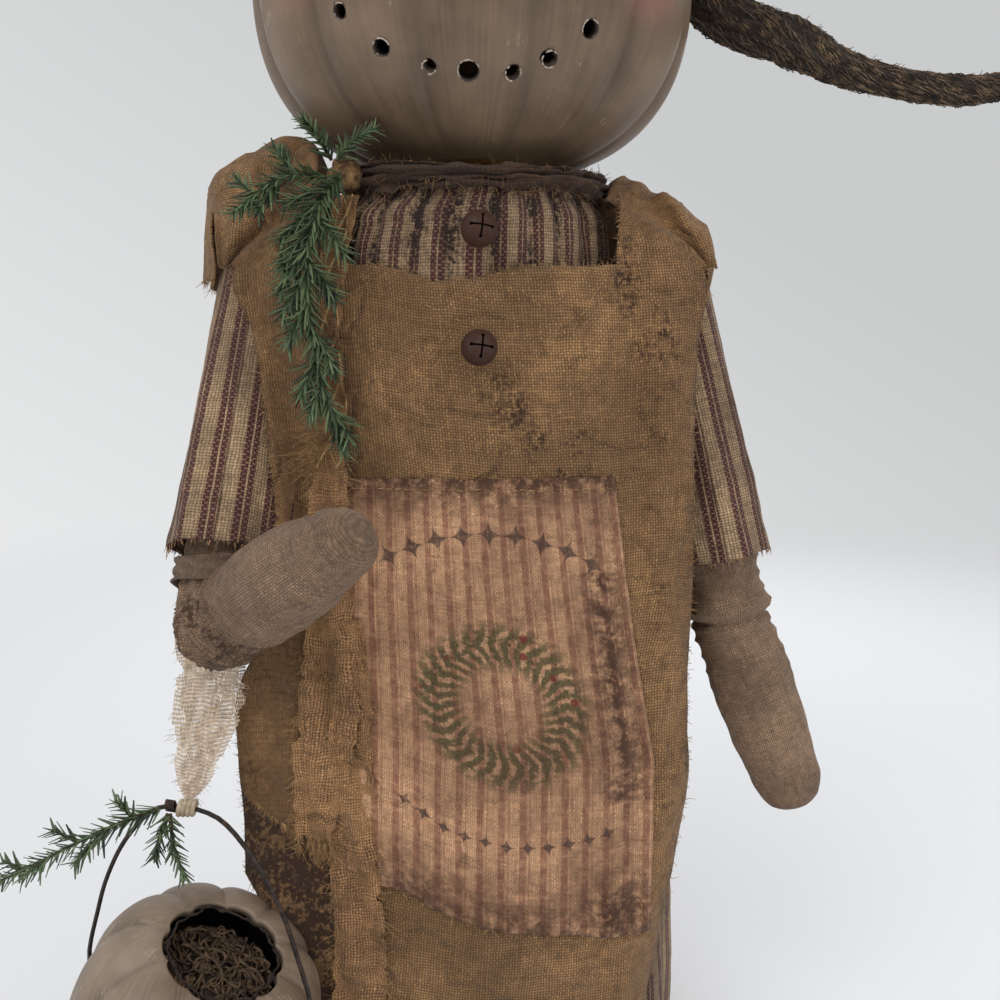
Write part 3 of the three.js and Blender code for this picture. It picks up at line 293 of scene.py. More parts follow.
weave, enter = new_group(
    "plain_weave",
    [("Cloth", place_kind, None), ("Pitch", number, 0.001), ("Wobble", number, 0.3)],
    ["Height", "Gap", "Warp", "Tint"],
)
threads = weave.scaled(enter["Cloth"], weave.over(1.0, enter["Pitch"]))
sway = weave.put("ShaderNodeTexNoise", {"Vector": threads, "Scale": 0.16, "Detail": 2.0}).outputs[1]
offset = weave.vector("SUBTRACT", sway, (0.5, 0.5, 0.5))
offset = weave.scaled(offset, weave.times(enter["Wobble"], 4.0))
across = weave.split(weave.vector("ADD", threads, offset))
s, t = across[0], across[1]


def thread_ridge(along, across, flip):
    """How round a thread is at a place, and how high it lies there as it passes over and under the others."""
    round_top = weave.absolute(weave.sine(weave.times(along, pi)))
    cell = weave.plus(weave.floor(along), weave.plus(across, -0.5 + flip))
    wave = weave.cosine(weave.times(cell, pi))
    lift = weave.times_plus(wave, 0.36, 0.64)
    return round_top, weave.times(weave.power(round_top, 0.6), lift)


warp_bump, warp_height = thread_ridge(s, t, 0)
weft_bump, weft_height = thread_ridge(t, s, 1)
warp_up = weave.above(warp_height, weft_height)
cover = weave.most(warp_bump, weft_bump)
drift, other_set = 0.12, 9.0
warp_tint = weave.noise(weave.join(weave.floor(s), weave.times(t, drift)), 0.83, 1.0)
weft_tint = weave.noise(weave.join(weave.times(s, drift), weave.floor(t), other_set), 0.83, 1.0)
weave.put("NodeGroupOutput", {
    "Height": weave.most(warp_height, weft_height),
    "Gap": weave.minus(1.0, cover, clamp=True),
    "Warp": warp_up,
    "Tint": weave.mix(warp_up, weft_tint, warp_tint),
})

grime, enter = new_group(
    "grime",
    [("Place", place_kind, None), ("Size", number, 0.05), ("Amount", number, 0.5)],
    ["Stain", "Speck"],
)
rate = grime.over(1.0, enter["Size"])
broad = grime.noise(enter["Place"], rate, 5.0, 0.6)
fine = grime.noise(enter["Place"], grime.times(rate, 9.0), 4.0, 0.7)
edge = grime.minus(0.78, grime.times(enter["Amount"], 0.36))
mixed = grime.times_plus(fine, 0.28, grime.times(broad, 0.86))
grime.put("NodeGroupOutput", {
    "Stain": grime.spread(mixed, grime.minus(edge, 0.1), grime.plus(edge, 0.13)),
    "Speck": grime.spread(fine, grime.plus(edge, 0.06), grime.plus(edge, 0.12)),
})
print("groups:", [group.name for group in bpy.data.node_groups])

# %% [markdown]
# ## Cloth finishes
# A cloth is dyed thread by thread, so each material mixes the warp and weft colours by the weave's own mask, paints
# shade into the gaps and the low parts of the threads, and then adds stains. Where a piece carries a darkening
# attribute, it gets darker there: soil at raw edges and seams, and painted shade under the head and in folds.

# %% Cloth material
def rgba(red, green, blue):
    """Linear colour from the 0 to 255 values of a colour chip."""
    def line(value):
        value /= 255
        return value / 12.92 if value <= 0.04045 else ((value + 0.055) / 1.055) ** 2.4
    return (line(red), line(green), line(blue), 1.0)


def cloth_finish(name, warp, weft, pitch, dark, stain=0.5, stain_size=0.06, bump=0.35, open_share=0.0,
                 wobble=0.3, gap_shade=0.45, stripes=None, paint_over=None, stain_and_shade_color=None, crush=0.5):
    """A woven cloth; open_share is the share of each gap that lets light through."""
    finish, tree = new_finish(name)
    uv, place = tree.put("ShaderNodeUVMap", uv_map="cloth").outputs[0], tree.place()
    values = {"Cloth": uv, "Pitch": pitch, "Wobble": wobble}
    cloth = tree.put("ShaderNodeGroup", values, node_tree=weave.tree).outputs
    if stripes:
        warp, weft = stripes(tree, uv, warp, 1.0), stripes(tree, uv, weft, 0.6)
    color = tree.blend(cloth["Warp"], weft, warp)
    mottle = tree.spread(tree.noise(place, 330.0, 4.0, 0.7), 0.3, 0.66, 0.74, 1.16)
    tint = tree.times(tree.spread(cloth["Tint"], 0.25, 0.75, 0.7, 1.28), mottle)
    gray = tree.put("ShaderNodeCombineColor", {0: tint, 1: tint, 2: tint}).outputs[0]
    color = tree.blend(1.0, color, gray, "MULTIPLY")
    if paint_over:
        color = paint_over(tree, uv, color)
    # Painted shade: the gaps between the threads and the low parts of each thread are darkened towards the dark colour.
    hole = tree.most(tree.spread(cloth["Gap"], 0.05, 0.6, 0.0, gap_shade),
                     tree.spread(cloth["Height"], 0.35, 0.8, gap_shade * 0.75, 0.0))
    color = tree.blend(hole, color, dark)
    patchy = tree.spread(tree.noise(place, 70.0, 4.0, 0.65), 0.35, 0.62, 0.15, 1.0)
    speckle = tree.spread(tree.noise(place, 420.0, 4.0, 0.7), 0.4, 0.56, 0.3, 1.25)
    # Blotchy, speckled darkening from the attribute: soil in some places, painted shade in others.
    soil = tree.times(tree.times(tree.attribute("soil"), patchy), speckle)
    dirt = tree.stains(place, stain_size, stain)
    dirt_and_shade_share = tree.most(tree.times(dirt["Stain"], 0.55), soil)
    dirt_and_shade_share = tree.most(dirt_and_shade_share, tree.times(dirt["Speck"], 0.5))
    color = tree.blend(dirt_and_shade_share, color, stain_and_shade_color or dark)
    height = tree.times_plus(tree.noise(place, 900.0, 3.0, 0.7), 0.35, cloth["Height"])
    crease = tree.absolute(tree.minus(tree.noise(place, 31.0, 2.0, 0.5), 0.5))
    rumple = tree.times_plus(tree.spread(crease, 0.0, 0.06), 0.35, tree.noise(place, 44.0, 3.0, 0.5))
    rumples = tree.bump(crush, 0.006, rumple)
    more = {"Normal": tree.bump(bump, pitch * 0.5, height, Normal=rumples), "Sheen_Weight": 0.06}
    if open_share:
        thin = tree.spread(cloth["Gap"], 1 - open_share, 1.08 - open_share, 1.0, 0.0)
        worn = tree.noise(uv, 90.0, 3.0, 0.6)
        more["Alpha"] = tree.most(thin, tree.spread(worn, 0.72, 0.78, 0.0, 1.0))
    tree.surface(color, 0.92, **more)
    return finish


def ticking(tree, uv, ground, strength):
    """Thread colour of the ticking: a broad wine band, with one pale thread down its middle, in every repeat."""
    stripe_repeat, band_middle, half_band, half_thread = 0.0122, 0.3, 0.245, 0.03
    repeat = tree.fraction(tree.over(tree.split(uv)[0], stripe_repeat))
    aside = tree.absolute(tree.minus(repeat, band_middle))
    band = tree.minus(tree.below(aside, half_band), tree.below(aside, half_thread), clamp=True)
    return tree.blend(tree.times(band, strength), ground, rgba(84, 27, 38))


striped = cloth_finish(
    "striped_homespun", rgba(186, 156, 121), rgba(180, 149, 113), 0.00142, rgba(44, 28, 22), stain=0.62,
    stain_size=0.05, stripes=ticking, bump=0.6, gap_shade=0.78)
osnaburg = cloth_finish(
    "tunic_osnaburg", rgba(186, 144, 97), rgba(174, 131, 85), 0.00132, rgba(54, 32, 16), stain=0.8, bump=0.6,
    gap_shade=0.9, stain_and_shade_color=rgba(58, 35, 19), crush=0.75)
arm_cloth = cloth_finish(
    "arm_osnaburg", rgba(170, 140, 113), rgba(158, 128, 101), 0.00122, rgba(56, 40, 30), stain=0.6, stain_size=0.04,
    bump=0.6, gap_shade=0.8, stain_and_shade_color=rgba(70, 50, 36))
cheese = cloth_finish(
    "cheesecloth", rgba(186, 142, 98), rgba(176, 132, 88), 0.0013, rgba(58, 36, 20), stain=0.4, stain_size=0.04,
    open_share=0.6, wobble=0.5, gap_shade=0.9, bump=0.6, crush=0.9)
# Painted shade: the tie's own brown is made darker for the shadow under the head.
shaded_tie_cloth = cloth_finish(
    "tie_cheesecloth_with_painted_shade", rgba(92, 64, 42), rgba(82, 56, 36), 0.00125, rgba(32, 19, 11), stain=0.8, stain_size=0.03,
    wobble=0.9, gap_shade=0.9, bump=0.7, stain_and_shade_color=rgba(42, 26, 16))
gauze_cloth = cloth_finish(
    "gauze", rgba(216, 196, 172), rgba(208, 187, 162), 0.0013, rgba(140, 108, 80), stain=0.4, stain_size=0.03,
    open_share=0.78, gap_shade=0.1, stain_and_shade_color=rgba(160, 120, 84))
wrap_cloth = cloth_finish(
    "soiled_gauze", rgba(134, 111, 92), rgba(124, 101, 82), 0.0012, rgba(50, 36, 27), stain=0.7, stain_size=0.03,
    gap_shade=0.8, crush=0.9, stain_and_shade_color=rgba(66, 46, 33))
casing = cloth_finish("muslin", rgba(214, 196, 158), rgba(206, 188, 150), 0.0007, rgba(140, 118, 84), stain=0.2)
wool = cloth_finish(
    "cap_wool", rgba(76, 61, 47), rgba(60, 48, 36), 0.0017, rgba(16, 12, 9), stain=0.85, stain_size=0.012,
    stain_and_shade_color=rgba(24, 18, 14), wobble=1.6, bump=0.9, gap_shade=0.8)
print("cloth finishes ready")

# %% [markdown]
# ## Measures of the body
# The dress hangs from the neck over the stuffed body, so both follow one outline: a rounded oval whose width, depth
# and lean change with height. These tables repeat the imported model's own values, in millimetres.

# %% Outline of the body and the clothes
def smooth(table, share):
    """The table's columns at a share, read along a smooth curve through its rows."""
    rows = [table[0]] + list(table) + [table[-1]]
    share = min(max(share, table[0][0]), table[-1][0])
    for index in range(1, len(rows) - 2):
        low, high = rows[index], rows[index + 1]
        if share <= high[0] or index == len(rows) - 3:
            span = high[0] - low[0]
            t = (share - low[0]) / span
            values = []
            for column in range(1, len(low)):
                def slope(a, c):
                    if c[0] == a[0]:
                        return 0.0
                    return (c[column] - a[column]) / (c[0] - a[0]) * span
                m0 = slope(rows[index - 1], high)
                m1 = slope(low, rows[index + 2])
                p0, p1 = low[column], high[column]
                values.append((2 * t**3 - 3 * t**2 + 1) * p0 + (t**3 - 2 * t**2 + t) * m0
                              + (-2 * t**3 + 3 * t**2) * p1 + (t**3 - t**2) * m1)
            return values


body_low, body_tall = 18.3, 446.0
half_width, half_depth, square, body_lean = 92.0, 60.0, 2.6, -5.0
body_rows = [[0, .97, .96, 0], [.1, 1, 1, .1], [.25, .99, 1, .3], [.45, .95, .99, .6], [.65, .86, .97, .8],
             [.8, .77, .96, 1], [.88, .745, .95, 1], [.93, .725, .94, .8], [.965, .64, .9, .4], [.985, .5, .78, .1]]
flare_rows = [[0, .85], [.25, .6], [.45, .25], [.65, .08], [.8, 0], [1, 0]]


def dress_outline(height, grown=0.0):
    """Half width, half depth and lean of the dress at a height, in millimetres."""
    share = max(0.0, (height - body_low) / body_tall)
    width, depth, lean = smooth(body_rows, share)
    ease = 2.3 + 17 * smooth(flare_rows, share)[0] + grown
    return half_width * width + ease, half_depth * depth + ease, body_lean * lean


def oval_point(height, angle, outline, more=0.0):
    """A point of the rounded oval; the angle is 0 at +X and 270 degrees at the front."""
    width, depth, lean = outline
    c, s = cos(angle), sin(angle)
    power = 2 / square
    x = (width + more) * copysign(abs(c) ** power, c)
    y = (depth + more) * copysign(abs(s) ** power, s)
    return Vector((x + lean, y, height))


for height in (4, 120, 240, 360, 440):
    print(height, [round(value, 1) for value in dress_outline(height)])

# %% [markdown]
# ## Helpers for cloth
# A cloth piece starts as a flat bmesh grid. Its UV map is its flat size in metres, so that the threads keep their
# pitch, and a rule moves each vertex to its place on the doll. Closed pieces have their two side edges welded.

# %% Cloth grids, tubes and frays
def finish_piece(name, mesh_data, materials, body, replaces=()):
    """Make the piece, shade it smooth and say what it rides on and the nodes that it replaces."""
    piece = add_object(name, mesh_data)
    for material in materials:
        mesh_data.materials.append(material)
    for polygon in mesh_data.polygons:
        polygon.use_smooth = True
    if body:
        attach(piece, body)
    if replaces:
        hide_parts(*replaces)
    return piece


def area_of(piece):
    return sum(polygon.area for polygon in piece.data.polygons)


def cloth_grid(name, columns, rows, flat, place_rule, materials, body, replaces=(), keep=None, closed=False,
               soil_and_shade_rule=None, thick=0.0, level=0, flip=False):
    """Lay a grid of cloth of the flat size (metres) and move it to place_rule(u, v), given in millimetres."""
    shape = bmesh.new()
    bmesh.ops.create_grid(shape, x_segments=columns, y_segments=rows, size=0.5)
    uv_layer = shape.loops.layers.uv.new("cloth")
    soil_and_shade_layer = shape.verts.layers.float.new("soil")
    spots = {vert: (vert.co.x + 0.5, vert.co.y + 0.5) for vert in shape.verts}
    for each in shape.faces:
        for loop in each.loops:
            u, v = spots[loop.vert]
            loop[uv_layer].uv = (u * flat[0], v * flat[1])
    if keep:
        def middle(each):
            return [sum(spots[vert][axis] for vert in each.verts) / len(each.verts) for axis in (0, 1)]
        gone = [each for each in shape.faces if not keep(*middle(each))]
        bmesh.ops.delete(shape, geom=gone, context="FACES")
    for vert in shape.verts:
        u, v = spots[vert]
        if soil_and_shade_rule:
            vert[soil_and_shade_layer] = soil_and_shade_rule(u, v)
        vert.co = Vector(place_rule(u, v)) * mm
    if closed:
        bmesh.ops.remove_doubles(shape, verts=shape.verts, dist=0.00002)
    if flip:
        bmesh.ops.reverse_faces(shape, faces=shape.faces)
    piece = finish_piece(name, mesh_from(shape, name), materials, body, replaces)
    if thick:
        solid = piece.modifiers.new("thickness", "SOLIDIFY")
        solid.thickness = thick * mm
        solid.offset = 0
    if level:
        rounder = piece.modifiers.new("round", "SUBSURF")
        rounder.levels = rounder.render_levels = level
    return piece


def strands(name, runs, materials, body, replaces=(), sides=4):
    """Threads, wires and cords as one mesh: each run is (points, radii) in millimetres, made by a bevelled curve."""
    line = bpy.data.curves.new(name, "CURVE")
    line.dimensions = "3D"
    line.bevel_depth = mm
    line.bevel_resolution = max(0, sides // 2 - 2)
    line.use_fill_caps = True
    for points, radii in runs:
        spline = line.splines.new("POLY")
        spline.points.add(len(points) - 1)
        spline.use_smooth = True
        for index, point in enumerate(points):
            spline.points[index].co = (*(Vector(point) * mm), 1)
            spline.points[index].radius = radii[index] if isinstance(radii, (list, tuple)) else radii
    holder = add_object(name + "_line", line)
    data = bpy.data.meshes.new_from_object(holder)
    data.name = name
    bpy.data.objects.remove(holder)
    bpy.data.curves.remove(line)
    return finish_piece(name, data, materials, body, replaces)


def curve_through(points, steps):
    """A smooth run of points through the given ones."""
    rows = [[index] + list(point) for index, point in enumerate(points)]
    return [Vector(smooth(rows, (len(points) - 1) * step / steps)) for step in range(steps + 1)]


def fray(name, edge, material, body, seed, count, length, spread_by=0.5, radius=0.16, curl=0.35):
    """Loose threads along an edge: edge(t) gives a point and a direction out of the cloth."""
    rng = random.Random(seed)
    runs = []
    for _ in range(count):
        point, away = edge(rng.random())
        point, away = Vector(point), Vector(away).normalized()
        along = Vector((rng.uniform(-1, 1), rng.uniform(-1, 1), rng.uniform(-1, 1))) * spread_by
        way = (away + along + Vector((0, 0, -1)) * rng.uniform(0, 0.4)).normalized()
        reach = length * rng.uniform(0.3, 1.0) * (1.9 if rng.random() > 0.94 else 1.0)
        bend = Vector((rng.uniform(-1, 1), rng.uniform(-1, 1), rng.uniform(-1, 0.4))) * curl * reach
        points = [point - away * 0.8]
        for share, bent in ((0.4, 0.16), (0.75, 0.56), (1, 1)):
            points.append(point + way * reach * share + bend * bent)
        runs.append((points, [radius, radius, radius * 0.85, radius * 0.5]))
    return strands(name, runs, [material], body)


def ripple(x, y, z, size, seed=0.0):
    """Smooth noise between -1 and 1 at a place in millimetres."""
    return noise.noise(Vector((x / size + seed, y / size - seed, z / size + seed * 0.5)))


print("helpers ready")

# %% [markdown]
# ## Thread and fibre finish
# Loose threads are too thin to show a weave. Their finish only changes colour slowly along the piece.

# %% Thread, wood, iron and rust finishes
def thread_finish(name, light, dark, size=220.0, roughness=0.9):
    finish, tree = new_finish(name)
    place = tree.place()
    color = tree.blend(tree.spread(tree.noise(place, size, 4.0, 0.65), 0.36, 0.64), dark, light)
    tree.surface(color, roughness, Normal=tree.bump(0.5, 0.0002, tree.noise(place, 1800.0, 2.0)))
    return finish


tan_thread = thread_finish("tan_thread", rgba(190, 154, 106), rgba(120, 86, 52))
tie_thread = thread_finish("tie_thread", rgba(150, 116, 76), rgba(70, 48, 30))
wine_thread = thread_finish("wine_thread", rgba(120, 62, 70), rgba(74, 30, 40))
gauze_thread = thread_finish("gauze_thread", rgba(206, 192, 168), rgba(160, 142, 116))
dark_thread = thread_finish("dark_thread", rgba(60, 46, 38), rgba(26, 20, 17))
tail_fibre = thread_finish("tail_fibre", rgba(126, 103, 80), rgba(26, 18, 12), 190.0)


def wood_finish(name, light, dark):
    """Pine: grain and year rings that are stretched along X."""
    finish, tree = new_finish(name)
    long_way = tree.put("ShaderNodeMapping", {"Vector": tree.place(), "Scale": (18.0, 160.0, 160.0)}).outputs[0]
    grain = tree.noise(long_way, 1.0, 5.0, 0.6)
    values = {"Vector": long_way, "Scale": 0.35, "Distortion": 5.0, "Detail": 3.0}
    rings = tree.put("ShaderNodeTexWave", values).outputs[1]
    share = tree.times_plus(rings, 0.5, tree.times(grain, 0.5))
    color = tree.blend(tree.spread(share, 0.25, 0.75), light, dark)
    tree.surface(color, 0.62, Normal=tree.bump(0.25, 0.0004, grain))
    return finish


def iron_finish(name, light, dark, rust_color, rust_share, metallic, size=260.0):
    """Old iron: dark metal where it is rubbed, rough rust elsewhere."""
    finish, tree = new_finish(name)
    place = tree.place()
    stain = tree.stains(place, 1 / size, rust_share)["Stain"]
    tone = tree.spread(tree.noise(place, size * 2, 5.0, 0.7), 0.3, 0.7)
    color = tree.blend(stain, tree.blend(tone, dark, light), rust_color)
    bare = tree.minus(1.0, stain, clamp=True)
    relief = tree.bump(0.6, 0.0003, tree.noise(place, size * 5, 4.0, 0.7))
    tree.surface(color, tree.spread(stain, 0.0, 1.0, 0.45, 0.85), Metallic=tree.times(bare, metallic), Normal=relief)
    return finish


pine = wood_finish("base_wood", rgba(176, 138, 92), rgba(126, 90, 54))
rust = iron_finish("rusty_iron", rgba(74, 41, 23), rgba(32, 15, 7), rgba(62, 31, 15), 0.75, 0.06)
wire_metal = iron_finish("dark_wire", rgba(74, 68, 64), rgba(34, 31, 30), rgba(92, 58, 40), 0.25, 0.8)
for node, material in (("base_disc", pine), ("neck_post", pine), ("head_block", pine), ("tail_wire", wire_metal),
                       ("pail_bail", wire_metal), ("upper_bell_pellet", rust), ("lower_bell_pellet", rust)):
    mesh_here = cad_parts[node].data
    mesh_here.materials.clear()
    mesh_here.materials.append(material)
print("kept nodes finished")

# %% [markdown]
# ## Stuffed body
# Nobody sees the body under the dress, but it carries the doll. The muslin casing, its filling and the weight bag are
# closed shells on the body's own outline, so the dress lies on something real in every view.

# %% Muslin casing, filling, weight bag and shoulder cord
def casing_point(u, v):
    height = body_low + body_tall * v
    width, depth, lean = smooth(body_rows, v)
    closing = max(0.0, (v - 0.97) / 0.03)
    neck_radius, inset = 11, 0.6 + 3.4 * clamp((v - 0.84) / 0.08)
    outline = [half_width * width - inset, half_depth * depth - inset, body_lean * lean]
    outline = [own + (neck - own) * closing for own, neck in zip(outline, (neck_radius, neck_radius, 0))]
    puff = 0.7 * ripple(u * 300, v * 260, 0, 38, 0.6)
    return oval_point(height, pi / 2 + 2 * pi * u, outline, puff - 0.7)


cloth_grid("muslin_casing", 72, 60, (0.52, 0.446), casing_point, [casing], "torso", ["muslin_body"],
           closed=True, thick=1.0, level=1)


def closed_pad(name, outline_rule, low, high, columns, rows, material, body, replaces):
    """A stuffed shape with domed ends, made from a grid that is wrapped round and drawn in at both ends."""
    def rule(u, v):
        turn = pi * (v - 0.5)
        rise = (low + high) / 2 + (high - low) / 2 * copysign(abs(sin(turn)) ** 0.55, sin(turn))
        draw = cos(turn) ** 0.42 if 0 < v < 1 else 0.0
        width, depth, lean = outline_rule(rise)
        return oval_point(rise, pi / 2 + 2 * pi * u, (width * draw, depth * draw, lean))
    flat = (0.5, (high - low) * mm)
    piece = cloth_grid(name, columns, rows, flat, rule, [material], body, replaces, closed=True)


def filling_outline(height):
    width, depth, lean = smooth(body_rows, (height - body_low) / body_tall)
    return half_width * width - 3.4, half_depth * depth - 3.4, body_lean * lean


closed_pad("body_filling", filling_outline, 20, 434, 48, 60, casing, "torso", ["body_stuffing"])
closed_pad("bag_of_weights", lambda height: (61, 40, 0), 19.4, 88, 40, 24, casing, "torso", ["weight_bag"])
right_pivot, left_pivot = Vector((-100.652, 0, 426.39)), Vector((92.052, 0, 426.39))
right_way, left_way = Vector((-.074, -.412, -.908)), Vector((.214, -.053, -.975))
cord_points = [right_pivot.lerp(left_pivot, step / 16) for step in range(17)]
knot_radii = [2.8, 1.25] + [1.2] * 13 + [1.25, 2.8]
strands("arm_cord", [(cord_points, knot_radii)], [gauze_thread], "torso", ["shoulder_cord"], 8)
print("body done")

# %% [markdown]
# ## Dress
# The dress is one tube of ticking: cut wide, gathered into pleats at the neck and left to hang in soft folds. The
# same rule that places its vertices also makes the pleats, so the stripes converge where the cloth is gathered.

# %% Striped dress
dress_top, dress_hem, pleats, skirt_folds = 464.5, 4.0, 28, 12


def dress_pleat(angle, height):
    """How much the gathers count at a height, and 0 to 1 from the bottom of a pleat to its top."""
    gather = clamp((height - 388) / 52) ** 1.4
    sway = 0.5 * sin(5 * angle + 1.3) + 0.3 * sin(11 * angle + height * 0.011)
    wave = sin(pleats * angle + 2.6 * sway)
    return gather, (0.5 + 0.5 * wave) ** 0.5


def dress_point(u, v):
    height = dress_hem + (dress_top - dress_hem) * v
    angle = pi / 2 + 2 * pi * u
    width, depth, lean = dress_outline(min(height, 440.0))
    share = ease(clamp((height - 443) / 14))
    neck_width, neck_depth = 57.0, 56.0
    outline = (width + (neck_width - width) * share, depth + (neck_depth - depth) * share, lean * (1 - share))
    gather, top = dress_pleat(angle, height)
    gather *= 1 - 0.62 * share
    open_fold = clamp((330 - height) / 300)
    skirt = 2.1 * cos(skirt_folds * angle) + 1.7 * sin(7 * angle + 0.6 + height * 0.004) - 1.5
    crumple = 0.8 * ripple(angle * 60, height, 0, 30, 3.0) + 0.35 * ripple(angle * 60, height, 5, 11, 1.0)
    crumple *= 1 - 0.6 * gather
    return oval_point(height, angle, outline, open_fold * skirt + gather * (4.4 * top - 1.0) + crumple - 1.2)


def dress_soil_and_shade(u, v):
    height = dress_hem + (dress_top - dress_hem) * v
    gather, top = dress_pleat(pi / 2 + 2 * pi * u, height)
    # Painted shade: the head's shadow over the gathers, strongest on the front left, and towards the neck; and shade in
    # the bottoms of the pleats. The cloth is also darker towards the hem.
    shade = gather * (0.75 if 0.25 < u < 0.51 else 0.4)
    return max(0.0, 0.85 - v * 9, min(0.8, max(0.0, (height - 420) / 40)), gather * (1 - top) ** 1.2 * 2.6, shade)


dress = cloth_grid("gathered_dress", 432, 150, (0.609, 0.467), dress_point, [striped], "torso",
                   ["striped_dress"], closed=True, soil_and_shade_rule=dress_soil_and_shade, thick=1.0)
fray("dress_hem_fringe", lambda t: (dress_point(t, 0.0), (0, 0, -1)), tan_thread, "torso",
     3, 420, 3.4, 0.4, 0.17)
print("dress", [round(value, 3) for value in dress.dimensions])

# %% [markdown]
# ## Tunic
# The tunic is one length of coarse cloth with a hole for the neck. It stands like a small tent over each shoulder and
# hangs flat in front and behind. A sparse net of points gives its form; the fine grid reads that net along smooth
# curves, and the folds and crumples are added on top.

# %% Where the tunic hangs
pivot_x = {"right": right_pivot.x, "left": left_pivot.x}
front_top, last_column, last_row = 421.9, 18, 22
shoulder_z, sleeve_r, lip_z, cap_depth = 426.39, 24.4, 451.3, 31.7
neck_share = [0, 0.2, 0.33, 0.45, 0.55, 0.64, 0.73, 0.81, 1]
right_cap = [(-8, 1.5), (40, 1.62), (68, 2.1), (92, 2.55), (112, 2.5)]
left_cap = [(-25, 1.15), (20, 1.08), (58, 1.14), (88, 1.44), (108, 1.74)]
front_rows = [0, .1, .2, .3, .4, .5, .6, .7, .8, .9, 1]
top_rows = [-1, -.7, -.35, 0, .35, .7, 1]
back_rows = [1, .75, .5, .25, 0]
hem_rise = [88, 22, 6, 2, 0, 0, 0, 0, 4]
right_edge = [[46, -104], [132, -110], [174, -110], [200, -113], [220, -113], [240, -105], [263, -94], [300, -87],
              [361, -95], [385, -99], [421, -108]]
left_edge = [[46, 80], [60, 84], [103, 92], [150, 100], [183, 109], [205, 103], [263, 105], [361, 104], [421, 106]]


def fold_at(height):
    share = max(0.0, (height - body_low) / body_tall)
    return 2.4 * min(1.0, smooth(flare_rows, share)[0])


def tunic_depth(x, height):
    width, depth, lean = dress_outline(height, 2.6 + fold_at(height))
    return depth * (1 - 0.2 * min(1.0, abs(x - lean) / width) ** 2)


def tunic_wrinkle(x, height):
    """How far the hanging cloth stands out of its plain form, in millimetres."""
    low = clamp((330 - height) / 200)
    long_folds = 1.3 * sin(x / 15 + 0.9 * sin(height / 95)) * (0.25 + low)
    slant = 1.4 * sin((x * 0.72 + height) / 17 + 1.4 * ripple(x, height, 0, 60, 2.0))
    slant *= max(0.0, 1 - abs(height - 395) / 62)
    crumples = ((1.7, 34, 7.0), (1.2, 13, 4.0), (0.2, 4.5, 9.0))
    crumple = sum(most * ripple(x, height, 0, size, seed) for most, size, seed in crumples)
    right_part = clamp((x - 62) / 14)
    hang = 2.2 * right_part * (1 - 2 * abs(sin((x + 0.05 * height) / 11 + 0.7 * ripple(x, height, 4, 70, 5.0))) ** 0.6)
    return long_folds + slant + crumple + hang


def tunic_front(x, height):
    rim = smooth(left_edge, height)[0]
    turn_back = clamp((x - (rim - 17)) / 17)
    slack = clamp((300 - height) / 120)
    return -tunic_depth(x, height) - 0.6 - tunic_wrinkle(x, height) + turn_back**2 * (4 + 9 * slack)


def cap_point(side, row, phase):
    sign = 1 if side == "left" else -1
    reach = sleeve_r * row[1]
    x = pivot_x[side] + sign * reach * cos(radians(row[0]))
    x -= sign * (14 if side == "right" else 7) * max(0.0, -phase) ** 2 * max(0.0, 1 - max(0, row[0]) / 88)
    peak = shoulder_z + reach * sin(radians(row[0]))
    lip = min(lip_z, peak - 5)
    return Vector((x, (cap_depth - 7 * max(0.0, 1 - max(0, row[0]) / 60)) * phase, peak + (lip - peak) * phase * phase))


def strap_point(index, phase):
    side, sign = ("right", -1) if index < 7 else ("left", 1)
    inner = index in (6, 12)
    clear = 65.6
    x = sign * (clear if inner else (clear + abs(pivot_x[side]) - sleeve_r) / 2)
    peak = lip_z + (2.8 if inner else 7.9) + 5
    return Vector((x, tunic_depth(x, lip_z) * phase, peak + (lip_z - peak) * phase * phase))


def tunic_knot(i, j):
    """One point of the sparse net: columns 0 to 18 across, rows 0 to 22 from the front hem over the top to the back."""
    top = j - 11
    if 0 <= top < 7:
        phase = top_rows[top]
        if i < 5:
            return cap_point("right", right_cap[i], phase)
        if i > 13:
            return cap_point("left", left_cap[18 - i], phase)
        if i <= 6 or i >= 12:
            return strap_point(i, phase)
        return strap_point(6, phase).lerp(strap_point(12, phase), (i - 6) / 6)
    front = j < 11
    index = min(max(i - 5, 0), 8)
    low = 46 + hem_rise[index] if front else 112
    share = front_rows[j] if front else back_rows[top - 7]
    high = front_top if front else lip_z - sleeve_r
    height = low + (high - low) * share
    past = (i - 5) * 1.9 if i < 5 else (i - 13) * 1.9 if i > 13 else 0
    a, b = smooth(right_edge, height)[0], smooth(left_edge, height)[0]
    x = a + (b - a) * neck_share[index] + past
    y = tunic_front(x, height) if front else tunic_depth(x, height) + 1.0 + tunic_wrinkle(-x, height)
    return Vector((x, y, height))


net = [[tunic_knot(i, j) for i in range(last_column + 1)] for j in range(last_row + 1)]


def spline4(p0, p1, p2, p3, t):
    """A Catmull-Rom curve through p1 and p2."""
    square, cube = 2 * p0 - 5 * p1 + 4 * p2 - p3, 3 * p1 - p0 - 3 * p2 + p3
    return 0.5 * ((2 * p1) + (p2 - p0) * t + square * t * t + cube * t**3)


def read_net(i, j):
    column, row = min(int(i), last_column - 1), min(int(j), last_row - 1)
    fi, fj = i - column, j - row
    lines = []
    for r in range(row - 1, row + 3):
        line = net[min(max(r, 0), last_row)]
        lines.append(spline4(*[line[min(max(c, 0), last_column)] for c in range(column - 1, column + 3)], fi))
    return spline4(*lines, fj)


over_sleeve = 29.5


